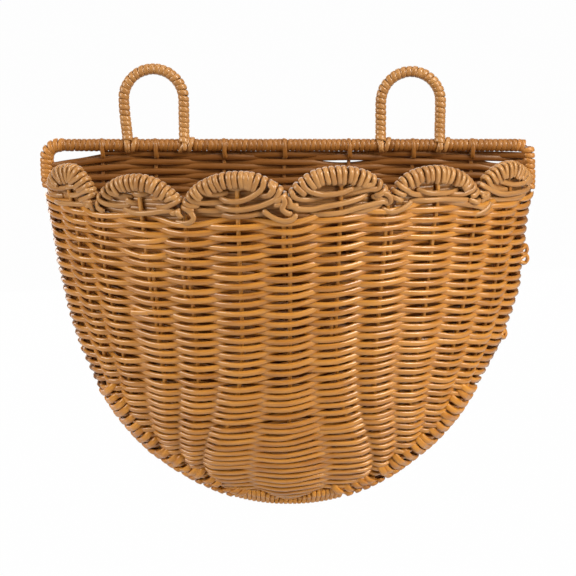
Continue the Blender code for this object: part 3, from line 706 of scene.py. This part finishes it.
# Short strands that tie the feet of neighbouring arches: distances in front of the wall, then places
KNOTS = (
    ((4.2, 4.8, 2.5), ((-123.5, -26.9), (-123.6, -30.3), (-123.3, -35.2))),
    ((2.5, 5.0, 4.0), ((-128.5, -31.8), (-125.3, -30.7), (-122.6, -30.8))),
    ((2.0, 4.6, 2.0), ((-72.3, -29.7), (-68.7, -29.4), (-65, -27.8))),
    ((4.2, 5.0, 2.5), ((-67, -26.9), (-65.8, -29.8), (-64.6, -33))),
    ((2.5, 4.4, 1.5), ((-62.4, -26.8), (-58.7, -29), (-56.9, -31.7), (-59, -34.8), (-64.3, -36.3),
     (-69.8, -36.3))),
    ((1.5, 4.8, 3.0), ((-15.7, -25.4), (-11.5, -28.2), (-6.4, -30.3), (-0.9, -31.1), (3.1, -29.4),
     (3.9, -26.7))),
    ((3.4, 4.2, 3.0), ((-3.4, -16.2), (-2.3, -19.7), (-3.7, -23.3), (-1.3, -26.2), (2.1, -27.3))),
    ((2.0, 4.4, 2.0), ((50.8, -18), (56.2, -16.3), (59.7, -18), (60.3, -22.2), (56.9, -23.2))),
    ((3.0, 4.4, 2.0), ((74.4, -22.4), (68, -26.6), (61.5, -28.4), (55.5, -26.4))),
    ((2.0, 4.6, 2.0), ((111.2, -25.6), (115.5, -27.3), (119.2, -26.8))),
    ((4.0, 4.6, 2.5), ((119, -23.4), (124.6, -26.9))),
    ((4.0, 3.6, 2.5), ((124.9, -22.8), (122.2, -25.6), (119, -28.3))),
    ((1.5, 4.2, 2.5), ((113.9, -35.3), (119.5, -35.8), (124.9, -32.8), (126.9, -28.9))),
)
# Strands behind each arch: how many at most, how far below the crown the first is, and their pitch
BEHIND_COUNT = 7
BEHIND_DROP = 0.0062
BEHIND_PITCH = 0.0029
BEHIND_OUT = -0.0026


class Arch:
    """One arch of the rim: its wire's line and the directions along it."""

    def __init__(self, places):
        points, normals = catmull(*wall_places(places), 0.0008)
        tangents = unit(np.gradient(points, axis=0))
        self.inward = unit(np.cross(tangents, normals))
        self.normals = normals
        self.line = Line(points - self.inward * 0.0006)
        across = np.stack([-tangents[:, 2], 0 * tangents[:, 0], tangents[:, 0]], -1)
        across = unit(across) * np.sign((across * self.inward).sum(1, keepdims=True))
        slope = -(normals * across).sum(1) / np.minimum(normals[:, 1], -0.3)
        across[:, 1] = np.clip(slope, -1.3, 1.3)
        self.stretch = np.linalg.norm(across, axis=1)
        self.across = unit(across)
        steps = np.diff(self.line.points, axis=0)
        self.seen = np.concatenate([[0], np.cumsum(np.hypot(steps[:, 0], steps[:, 2]))])

    def ways(self, s):
        ways = (self.inward, self.normals, self.across)
        inner, normal, across = (unit(self.line.read(s, way)) for way in ways)
        return inner, normal, across * np.interp(s, self.line.marks, self.stretch)

    def turn(self, s, shape, shift=0.0):
        """Points and directions of a strand over the wire; shape lists (part of shift, inward, out)."""
        points, ways = [], []
        for part, inward, out in shape:
            mark = np.clip(s + part * shift, 0, self.line.length)
            inner, normal, across = self.ways(mark)
            share = min(1.0, max(0.0, inward / 0.0035))
            inner = inner * (1 - share) + across * share
            points.append(self.line.at(mark) + inner * inward + normal * out)
            inner = unit(inner)
            ways.append(unit(inner * inward + normal * out) if inward < 0.0016 else normal * np.sign(out))
        return points, ways

    def nearest(self, point):
        return float(self.line.marks[np.argmin(np.linalg.norm(self.line.points - point, axis=1))])


def over_wire(depth):
    """The shape of a turn over the wire, from behind it to the front, that reaches depth inside."""
    r = RIM_WIRE + RIM_STRAND[1] + SLACK
    return ((-0.6, 0.80 * depth, -0.7 * r), (-0.3, 0.35 * depth, -r), (-0.15, 0.0, -r),
            (0.0, -0.66 * r, -0.74 * r), (0.02, -r, 0.0), (0.08, -0.66 * r, 0.74 * r), (0.2, 0.0, r),
            (0.5, 0.45 * depth, 1.06 * r), (0.8, 0.85 * depth, 0.95 * r), (0.9, depth, 0.65 * r))


def add_inner_strands(turns, arch, strands):
    """Adds the strands inside an arch; returns where they go round its wire."""
    taken = []
    for over, outs, line in strands:
        points, ways = (list(part) for part in wall_places(line, bulge(outs, len(line))))
        if over:
            mark = arch.nearest(wall_places(line[:1])[0][0])
            taken.append(mark)
            first, first_ways = arch.turn(mark, over_wire(0.0055)[:6])
            points, ways = first + points[1:], first_ways + ways[1:]
        points, ways = catmull(points, ways, 0.0010)
        turns.add(points, ways, ARCH_STRAND, tint=drawn(0.45, 0.5), taper=0.0012)
    return taken


def add_strands_behind(turns, places):
    """Adds level strands behind the inside of an arch, down to its feet."""
    wire = np.array(places) / 1000
    top = int(np.argmax(wire[:, 1]))
    flanks = (wire[:top + 1][::-1], wire[top:])
    for rank in range(BEHIND_COUNT):
        level = wire[top, 1] - BEHIND_DROP - BEHIND_PITCH * rank
        left, right = (float(np.interp(-level, -part[:, 1], part[:, 0])) for part in flanks)
        if level < min(wire[0, 1], wire[-1, 1]) - 0.0012 or right - left < 0.008:
            continue
        u = np.linspace(-1, 1, 9)
        x = (left + right) / 2 + (right - left) / 2 * u
        h = level - 0.0008 * (1 - u**2) + 0.0004 * u
        points, ways = catmull(*wall_at(x, h, BEHIND_OUT), 0.0020)
        turns.add(points, ways, ARCH_STRAND, tint=drawn(0.15, 0.4))


def add_wraps(turns, arch, reach, taken):
    """Adds the turns side by side over an arch's wire, between the strands that already go round it."""
    length = arch.line.length
    gaps = sorted([0.0008] + taken + [length - 0.0008])
    for first, last in zip(gaps[:-1], gaps[1:]):
        seen = np.interp((first, last), arch.line.marks, arch.seen)
        count = int(round((seen[1] - seen[0]) / WRAP_PITCH)) - 1
        for k in range(1, count + 1):
            place = seen[0] + (seen[1] - seen[0]) * k / (count + 1) + 0.00022 * rng.normal()
            place = float(np.interp(place, arch.seen, arch.line.marks))
            crown = 1 - abs(place / length * 2 - 1)
            depth = 0.0040 + (reach / 1000 - 0.0040) * min(1, 1.6 * crown) + 0.0004 * rng.normal()
            points, ways = catmull(*arch.turn(place, over_wire(depth), 0.0009 * rng.normal()), 0.0009)
            strand = (RIM_STRAND[0] * (1 + 0.05 * rng.normal()), RIM_STRAND[1])
            turns.add(points, ways, strand, tint=drawn(0.45, 0.55), taper=0.0010)


def build_rim():
    wire_nodes, turn_nodes = ([f"scallop_{part}_{side}_{k}" for side in ("left", "right") for k in (1, 2, 3)]
                              for part in ("wire", "winding"))
    wires = Tubes("rim_wires", wire_look, "steel_wire", wire_nodes, sides=8)
    turns = Tubes("rim_turns", wound_look, "wound_strand", turn_nodes, sides=12)
    for places, reach, strands in ARCHES:
        arch = Arch(places)
        wires.add(arch.line.points, arch.normals, (RIM_WIRE, RIM_WIRE))
        taken = add_inner_strands(turns, arch, strands)
        add_strands_behind(turns, places)
        add_wraps(turns, arch, reach, taken)
    wires.build()
    turns.build()


def build_knots():
    """Short strands that tie the feet of two neighbouring arches together at each valley."""
    nodes = [f"rim_knot_{k}" for k in range(1, 6)]
    knots = Tubes("valley_knots", wound_look, "wound_strand", nodes, sides=12)
    for outs, line in KNOTS:
        points, normals = wall_strand(line, outs)
        knots.add(points, normals, KNOT_STRAND, tint=drawn(0.55, 0.45), taper=0.0012)
    knots.build()


# Windings round the hoop and the loops
BAR_PITCH = 0.00325
BEND_PITCH = 0.0031
RIGHT_PITCH = 0.00338
LEFT_GAP = 0.0007  # the left corner's turns lie further out from the wire than the others
CORNER_LOW = -0.0285  # where the corner windings end on the hoop's sides
LOOP_PITCH = 0.00355
LOOP_GAP = 0.0005
COIL_STEPS = 15
COIL_TURNS = 5  # in each length of a coil that has its own tint
COIL_SPREAD = 0.06
# The loops: side, place across, height of the crown, and how far the left leg's foot is bent inward
LOOPS = (("left", -0.0890, 0.0502, 0.0026), ("right", 0.0805, 0.0485, 0.0002))
LOOP_HALF = 0.0197
LOOP_FOOT_H = 0.0022
# The ties beside the feet from left to right: loop, distance from its middle and slant
LOOP_TIES = ((0, 0.0018 - LOOP_HALF, 0.0006), (0, LOOP_HALF, -0.0030),
             (1, -LOOP_HALF, 0.0012), (1, LOOP_HALF, -0.0008))
TIE_RADIUS = HOOP_WIRE + 2 * BAR_STRAND[1] + 0.0007
TIE_ANGLES = (-0.38 * PI, 0.66 * PI)
BESIDE = 0.0042  # from a tie to the turn beside it
BESIDE_ANGLES = (-1.15, -1.15 + 1.04 * PI)
BESIDE_SLANT = 0.0014
FOOT_TOP = 0.0062
FOOT_LOW = -0.0034
FOOT_ASIDE = 0.0008
FOOT_FORWARD = 0.0052
FOOT_BOW = 0.0018


def add_coil(tubes, line, radius, strand, pitch, seed):
    """Winds a strand round the whole of a line, in lengths of a few turns with a tint each."""
    turns = int(round(line.length / pitch))
    sizes = 1 + COIL_SPREAD * np.random.default_rng(seed).normal(size=turns)
    marks = line.length * np.concatenate([[0], np.cumsum(sizes)]) / sizes.sum()
    t = np.linspace(0, turns, turns * COIL_STEPS + 1)
    s = np.interp(t, np.arange(turns + 1), marks)
    tangent = line.tangent(s)
    side = unit(np.cross(tangent, BACK))
    angle = 2 * PI * t[:, None]
    ways = np.cos(angle) * side + np.sin(angle) * np.cross(side, tangent)
    swell = 1 + 0.02 * soft_noise(seed + 1, len(t), 9)[:, None]
    points = line.at(s) + radius * swell * ways
    chunk = COIL_STEPS * COIL_TURNS
    for first in range(0, len(points) - 1, chunk):
        part = slice(first, first + chunk + 1)
        tubes.add(points[part], ways[part], strand, tint=drawn(0.45, 0.45))


def add_turns(tubes, line, start, stop, pitch, gap=SLACK):
    """Single turns of the bar's strand round a line, side by side, each with its own tint."""
    count = max(1, int(round((stop - start) / pitch)))
    step = (stop - start) / count
    strand = (min(BAR_STRAND[0], step * 0.53), BAR_STRAND[1])
    radius = HOOP_WIRE + gap + BAR_STRAND[1]
    for k in range(count):
        s = start + (k + 0.5) * step + 0.00006 * rng.normal()
        t = np.linspace(-0.62 * PI, 1.42 * PI, 26)
        marks = s + (0.0008 + 0.00012 * rng.normal()) * np.sin(t)
        tangent = line.tangent(marks)
        upward = np.cross(tangent, FRONT)
        upward *= -np.sign(upward[:, 2:3]) if abs(tangent[0, 0]) > 0.7 else 1
        way = unit(np.cos(t)[:, None] * FRONT - np.sin(t)[:, None] * upward)
        points = line.at(marks) + radius * (1 + 0.012 * rng.normal()) * way
        tubes.add(points, way, strand, tint=drawn(0.4, 0.55), taper=0.0008)


def build_bar():
    # The bar's turns take the darker look, with its painted shade
    bar = Tubes("bar_turns", bar_painted_shade_look, "wound_strand", ["bar_winding"], sides=12)
    left = Tubes("corner_turns_left", corner_look, "wound_strand", ["corner_winding_left"], sides=12)
    right = Tubes("corner_turns_right", corner_look, "wound_strand", ["corner_winding_right"], sides=12)
    reach = HALF - CORNER - 0.001
    straight = Line([(-reach, HOOP_Y, 0), (0, HOOP_Y, 0), (reach, HOOP_Y, 0)])
    end = Line([(reach, HOOP_Y, 0), (HALF - 0.0040, HOOP_Y, -0.0004)])
    bend = Line([(HALF - 0.0024, HOOP_Y, -0.0014), (HALF - 0.0006, HOOP_Y, -0.0040),
                 (HALF - 0.0002, HOOP_Y, -CORNER)])
    add_turns(bar, straight, 0.0, 2 * reach, BAR_PITCH)
    add_turns(right, end, 0.0, end.length, BAR_PITCH)
    add_turns(right, bend, 0.0, bend.length, BEND_PITCH)
    add_turns(right, hoop, hoop.marks[BAR_STEPS + CORNER_STEPS - 1], hoop_mark(1, CORNER_LOW), RIGHT_PITCH)
    add_turns(left, hoop, hoop_mark(-1, CORNER_LOW), hoop.marks[1 - BAR_STEPS], BAR_PITCH, LEFT_GAP)
    for piece in (bar, left, right):
        piece.build()


def loop_line(x, height, bend):
    """The line of a loop's wire, whose feet come forward over the bar."""
    crown = height - LOOP_HALF
    points = [(x - LOOP_HALF, HOOP_Y, h) for h in np.linspace(LOOP_FOOT_H, crown, 16)]
    points += [(x - LOOP_HALF * math.cos(a), HOOP_Y, crown + LOOP_HALF * math.sin(a))
               for a in np.linspace(0, PI, 50)[1:-1]]
    points += [(x + LOOP_HALF, HOOP_Y, h) for h in np.linspace(crown, LOOP_FOOT_H, 16)]
    points = np.array(points)
    points[:, 0] += bend * np.clip(1 - points[:, 2] / crown, 0, 1) ** 1.5 * (points[:, 0] < x)
    points[:, 1] -= 0.0028 * np.clip(1 - points[:, 2] / 0.0085, 0, 1)
    return Line(points)


def build_loops():
    for number, (side, x, height, bend) in enumerate(LOOPS):
        wire = Tubes(f"loop_wire_shape_{side}", wire_look, "steel_wire", [f"loop_wire_{side}"], sides=8)
        line = loop_line(x, height, bend)
        wire.add(line.at(np.linspace(0, line.length, 70)), BACK, (LOOP_WIRE, LOOP_WIRE))
        wire.build()
        turns = Tubes(f"loop_turns_{side}", wound_look, "wound_strand", [f"loop_winding_{side}"], sides=10)
        add_coil(turns, line, LOOP_WIRE + LOOP_GAP + LOOP_STRAND[1], LOOP_STRAND, LOOP_PITCH, 80 + number)
        turns.build()


def bar_turn(x, radius, first, last, count):
    """Part of a turn round the bar between two angles: its points, outward directions and angles."""
    t = np.linspace(first, last, count)
    way = np.stack([0 * t, -np.cos(t), np.sin(t)], -1)
    return np.array([x, HOOP_Y, 0]) + radius * way, way, t


def build_ties():
    """The strand at each foot of a loop: it comes down over the bar and turns once round it beside."""
    ties = Tubes("loop_ties", wound_look, "wound_strand", [f"loop_tie_{k}" for k in (1, 2, 3, 4)], sides=10)
    for number, across, slant in LOOP_TIES:
        x = LOOPS[number][1] + across
        points, ways, t = bar_turn(x, TIE_RADIUS, *TIE_ANGLES, 24)
        points[:, 0] += slant * np.sin(t + PI)
        ties.add(points, ways, LOOP_TIE, tint=0.5, taper=0.0016)
        points, ways, t = bar_turn(x + BESIDE, TIE_RADIUS - 0.0001, *BESIDE_ANGLES, 13)
        points[:, 0] += BESIDE_SLANT * np.sin(t)
        ties.add(points, ways, LOOP_TIE_TURN, tint=0.45, taper=0.0012)
        share = np.linspace(0, 1, 12)[:, None]
        upper = np.array((x, HOOP_Y, FOOT_TOP))
        lower = np.array((x + FOOT_ASIDE, HOOP_Y - FOOT_FORWARD, FOOT_LOW))
        foot = upper + share * (lower - upper)
        foot[:, 1] -= FOOT_BOW * np.sin(PI * share[:, 0])
        ties.add(foot, (0.0, -1.0, 0.3), LOOP_FOOT, tint=0.55, taper=0.0030)
    ties.build()


# The back
BACK_FIRST = -0.0053
BACK_PITCH = 0.00308
BACK_STEP = 0.0021
BACK_UNEVEN = ((0.00012, 10, 400), (0.00035, 14, 300))
BACK_SWING = 0.8 * (BACK_STAKE + BACK_WEAVER[1])
TOP_ROW_DROP = 0.0007
SHORT_END = ((-0.1235, -0.0058, -0.0056), (-0.0960, -0.0058, -0.0042))
STAKE_TIE_RADIUS = HOOP_WIRE + 0.00165
STAKE_TIE_ANGLES = (-0.55 * PI, 1.25 * PI)
STAKE_TIE_TAIL = 0.0045  # how far its hidden end is drawn down
STAKE_TIE_SLANT = 0.0010
STRIP_HEIGHTS = (-0.030, -0.172)
STRIP_INSET = 0.0042
TURNS_BELOW = -0.030  # above this the rows end at the hoop without turning round it
# The top rows hang lower towards each side: side, where that starts, over what width, and how far
BACK_DROOP = ((-1, 0.105, 0.05, 0.0062), (1, 0.118, 0.04, 0.0010))
# Places where two back rows stand apart: from and to across, the row above, how far the lower ones drop
BACK_GAPS = ((0.016, 0.055, 1, 0.0019), (0.128, 0.151, 1, 0.0024))


def back_row(number, level):
    """One weaver across the back, from left to right: its points and normals."""
    edge = float(half_width(np.array(level), HOOP_BOTTOM))
    x = np.linspace(-edge, edge, max(10, int(2 * edge / BACK_STEP)))
    from_end = edge - np.abs(x)
    droop = sum(drop * np.clip((side * x - first) / width, 0, 1) ** 1.4
                for side, first, width, drop in BACK_DROOP)
    wave = uneven(number, len(x), *BACK_UNEVEN)
    h = level - droop * math.exp((0.008 + level) / 0.013) + wave * np.clip(from_end / 0.02, 0, 1)
    if number == 0:
        h = h - TOP_ROW_DROP
    for first, last, above, drop in BACK_GAPS:
        if number > above:
            part = np.sin(PI * np.clip((x - first) / (last - first), 0, 1))
            h = h - drop * part * math.exp(-(number - above - 1) / 2.2)
    live = [s for s in BACK_STAKES if abs(s) < edge - 0.004]
    marks = np.array([-edge] + live + [edge])
    start = BACK_STAKES.index(live[0]) if live else 0
    swing = np.cos(PI * (np.interp(x, marks, np.arange(len(marks)) + start) + number))
    near = smooth(np.clip(from_end / 0.014, 0, 1))
    y = BACK_Y * near + HOOP_Y * (1 - near) - swing * (BACK_SWING * near + 0.0025 * (1 - near))
    h = h + (0.0006 - 0.0002 * near) * swing
    return np.stack([x, y, h], -1), np.tile(FRONT, (len(x), 1))


def build_back_rows():
    # The back's rows take the darker look, with its painted shade
    rows = Tubes("back_rows", back_painted_shade_look, "woven_strand", ["back_weave"], sides=8)
    levels = [BACK_FIRST - BACK_PITCH * k for k in range(200)]
    levels = [level for level in levels if level > HOOP_BOTTOM + 0.0045]
    made = [back_row(number, level) for number, level in enumerate(levels)]
    for number, (points, normals) in enumerate(made):
        if number + 1 < len(made):
            side, end, start = (1, -1, "front") if number % 2 == 0 else (-1, 0, "back")
            own, following = points[end, 2], made[number + 1][0][end, 2]
            if min(own, following) > SEAM_FROM and max(own, following) < TURNS_BELOW:
                turn = hoop_turn(side, own, following, start, "outer", HOOP_WIRE + BACK_WEAVER[1] + SLACK)
                points, normals = join_turn((points, normals), turn, side)
        rows.add(points, normals, BACK_WEAVER, tint=drawn(0.2, 0.6))
    rows.add(np.linspace(*SHORT_END, 14), FRONT, BACK_SHORT, tint=0.6)
    rows.build()


def build_back_stakes():
    """The back's stakes with their ties over the bar, and a flat strip along each side of the hoop."""
    # The back's stakes, ties and strips take the bar's darker look, with its painted shade
    rods = Tubes("back_stakes", bar_painted_shade_look, "stake", [f"back_stake_{k}" for k in range(1, 8)], sides=8)
    for side in (-1, 1):
        h = np.linspace(*STRIP_HEIGHTS, 60)
        x = side * (half_width(h, HOOP_BOTTOM) - STRIP_INSET)
        rods.add(np.stack([x, HOOP_Y + 0 * h, h], -1), FRONT, BACK_STRIP)
    for x in BACK_STAKES:
        h = np.linspace(-0.004, float(hoop_height(x)) + 0.004, 60)
        rods.add(np.stack([x + 0 * h, BACK_Y + 0 * h, h], -1), FRONT, (BACK_STAKE, BACK_STAKE))
        points, ways, t = bar_turn(x, STAKE_TIE_RADIUS, *STAKE_TIE_ANGLES, 26)
        points[:, 2] -= np.clip(-np.sin(t), 0, 1) * (t < 0) * STAKE_TIE_TAIL
        points[:, 0] += STAKE_TIE_SLANT * np.linspace(1, -1, 26)
        rods.add(points, ways, STAKE_TIE, tint=0.75, taper=0.0012)
    rods.build()


# The bound seam
SEAM_RADIUS = 0.0037
SEAM_SLANT = 0.0030
SEAM_ANGLES = ((0.045, 0.090), (33, 52))  # distances across and the turns' angles there, in degrees
# A coarse turn over the front: shares of its length and distances in front of the wall
SEAM_RISE = ((0.30, 0.0042), (0.55, 0.0048), (0.80, 0.0038), (1.0, 0.0005))
SEAM_LENGTH = (0.0125, 0.0012)  # of a coarse turn's front part, and its spread
SEAM_STEP = (0.0046, 0.0022)  # least distance to the next coarse turn, and how much more it may be
CALM_HALF = 0.037  # nearer the middle than this the turns are close and upright
CALM_PITCH = 0.00315
CALM_LENGTH = 0.0058  # of a close turn's front part, which grows from nothing near the middle
CALM_GROWS = (0.005, 0.012)  # distance across where that starts, and over what width
CALM_DEPTH = 0.0036
CALM_LIFT = (0.0046, 0.0035)  # above and below the wire
# A close turn over the front: shares of its length and distances in front of the wall
CALM_RISE = ((0.25, 0.6, 1.0), (0.0036, 0.0034, 0.0012))


def seam_turn(s, way_in, length):
    """One coarse turn round the hoop: from behind it, round its outside and over the front along way_in."""
    centre, tangent = hoop.at(s), hoop.tangent(s)
    outer = hoop_outward(centre, tangent)
    slant = tangent * np.sign(tangent[0] * way_in[0]) * SEAM_SLANT
    r = SEAM_RADIUS
    low = 0.0006 * rng.random()
    points = [centre + r * BACK - outer * 0.002 - slant,
              centre + r * 0.75 * (BACK + outer) - slant * 0.8,
              centre + (r + low) * outer - slant * 0.55,
              centre + r * (0.8 * outer - 0.75 * BACK) - slant * 0.25]
    ways = [BACK, unit(BACK + outer), outer, unit(0.7 * outer - 0.75 * BACK)]
    for share, out in SEAM_RISE:
        x = centre[0] + way_in[0] * length * share
        h = max(centre[2] + way_in[1] * length * share, FRONT_BOTTOM + 0.0006)
        point, normal = wall_at(x, h, out)
        points.append(point)
        ways.append(normal)
    return catmull(points, ways, 0.0010)


def calm_turn(s, across):
    """One close turn round the bottom of the hoop, a little taller in front than it is deep."""
    length = CALM_LENGTH * min(1.0, max(0.0, (abs(across) - CALM_GROWS[0]) / CALM_GROWS[1]))
    t = np.linspace(-0.30 * PI, (0.80 if length > 0.001 else 1.25) * PI, 24)
    way = np.stack([0 * t, np.cos(t), -np.sin(t)], -1)
    lift = np.where(way[:, 2] > 0, *CALM_LIFT)
    around = np.stack([0 * t, CALM_DEPTH * way[:, 1], lift * way[:, 2]], -1)
    points = hoop.at(s + 0.0005 * np.sin(t)) + around
    if length <= 0.001:
        return points, way
    h = float(hoop_height(across, FRONT_BOTTOM)) + length * np.array(CALM_RISE[0])
    over, normals = wall_at(np.full(3, across), h, CALM_RISE[1])
    return catmull(np.vstack([points[::4], over]), np.vstack([way[::4], normals]), 0.0010)


def build_seam():
    """Turns round the hoop's lower run, coarse and slanting at the sides and close at the bottom."""
    # The seam's turns take the lighter look, with its painted light
    seam = Tubes("hoop_seam", seam_painted_light_look, "wound_strand", ["hoop_binding"], sides=10)
    wire = Tubes("hoop_wire_shape", wire_look, "steel_wire", ["hoop_wire"], sides=8)
    wire.add(hoop.at(np.linspace(0, hoop.length, 420)), BACK, (HOOP_WIRE, HOOP_WIRE))
    s, stop = (hoop_mark(side, SEAM_FROM + 0.004) for side in (1, -1))
    while s < stop:
        x = float(hoop.at(np.array(s))[0])
        if abs(x) < CALM_HALF:
            points, ways = calm_turn(s, x)
            seam.add(points, ways, SEAM_CLOSE, tint=drawn(0.55, 0.45), taper=0.0008)
            s += CALM_PITCH
            continue
        angle = math.radians(np.interp(abs(x), *SEAM_ANGLES) + 7 * rng.normal())
        length = SEAM_LENGTH[0] + SEAM_LENGTH[1] * rng.normal()
        points, ways = seam_turn(s, (-np.sign(x) * math.cos(angle), math.sin(angle)), length)
        seam.add(points, ways, SEAM_COARSE, tint=drawn(0.15, 0.55), taper=0.001)
        s += drawn(*SEAM_STEP)
    seam.build()
    wire.build()


# Assembly
build_front_rows()
build_front_stakes()
build_rim()
build_knots()
build_bar()
build_loops()
build_ties()
build_back_rows()
build_back_stakes()
build_seam()

# Stage, light and camera
FLOOR_Z = -0.445
FLOOR_HALF = 30
FLOOR_COLOUR = (0.52, 0.52, 0.52, 1)
FLOOR_GLOW = 0.985
AMBIENT = 0.175
# Lamps: name, place, what it points at, width and height, power
LAMPS = (
    ("key", (1.05, -1.05, 1.05), (0.02, -0.03, 0.0), (0.7, 0.7), 31),
    ("side", (1.45, -0.95, 0.30), (0.0, -0.05, 0.0), (0.6, 0.6), 11.5),
    ("fill", (-1.45, -0.58, 0.50), (0, -0.03, 0.0), (0.9, 0.9), 22),
    ("top", (0.1, -0.15, 1.3), (0, -0.03, 0.0), (0.8, 0.6), 5),
    ("rear", (-0.35, 1.9, 0.2), (0, 0.0, -0.02), (2.4, 2.4), 40),
)
CAMERA_ELEVATION = math.radians(13)
CAMERA_TARGET = Vector((-0.0005, 0.0, 0.0092))
CAMERA_DISTANCE = 1.02


def camera_mix(tree, lit, shown, share=1.0):
    """The lit shader for light and reflections, and mostly the shown one where the camera looks."""
    amount = add_node(tree, "LightPath", {}).outputs["Is Camera Ray"]
    if share < 1:
        amount = add_node(tree, "Math", {0: amount, 1: share}, operation="MULTIPLY").outputs[0]
    return add_node(tree, "MixShader", {0: amount, 1: lit.outputs[0], 2: shown.outputs[0]}).outputs[0]


def build_stage():
    """A pale matt floor, lifted towards white for the camera but keeping the object's shadow."""
    material, tree = new_material("pale floor")
    tree.nodes.clear()
    diffuse = add_node(tree, "BsdfDiffuse", {"Color": FLOOR_COLOUR})
    glow = add_node(tree, "Emission", {"Strength": 1.0})
    add_node(tree, "OutputMaterial", {"Surface": camera_mix(tree, diffuse, glow, FLOOR_GLOW)})
    mesh = bpy.data.meshes.new("floor")
    corners = ((-1, -1), (1, -1), (1, 1), (-1, 1))
    mesh.from_pydata([(FLOOR_HALF * x, FLOOR_HALF * y, FLOOR_Z) for x, y in corners], [], [(0, 1, 2, 3)])
    mesh.materials.append(material)
    floor = bpy.data.objects.new("floor", mesh)
    bpy.context.scene.collection.objects.link(floor)


def build_world():
    world = bpy.data.worlds.new("studio")
    bpy.context.scene.world = world
    world.use_nodes = True
    tree = world.node_tree
    tree.nodes.clear()
    ambient, white = (add_node(tree, "Background", {"Color": (1, 1, 1, 1), "Strength": strength})
                      for strength in (AMBIENT, 1.0))
    add_node(tree, "OutputWorld", {"Surface": camera_mix(tree, ambient, white)})


def aim(thing, place, target):
    thing.location = place
    thing.rotation_euler = (Vector(target) - Vector(place)).to_track_quat("-Z", "Y").to_euler()
    bpy.context.scene.collection.objects.link(thing)


def build_lamps():
    for name, place, target, size, power in LAMPS:
        data = bpy.data.lights.new(name, "AREA")
        data.shape = "RECTANGLE"
        data.size, data.size_y = size
        data.energy = power
        aim(bpy.data.objects.new(name, data), place, target)


build_stage()
build_world()
build_lamps()
camera = bpy.data.objects.new("camera", bpy.data.cameras.new("camera"))
camera.data.lens = 93.4
camera.data.sensor_width = 36
camera.data.clip_start = 0.05
camera.data.clip_end = 100
toward_camera = Vector((0, -math.cos(CAMERA_ELEVATION), math.sin(CAMERA_ELEVATION)))
aim(camera, CAMERA_TARGET + toward_camera * CAMERA_DISTANCE, CAMERA_TARGET)
bpy.context.scene.camera = camera
bpy.context.scene.view_settings.view_transform = "Standard"
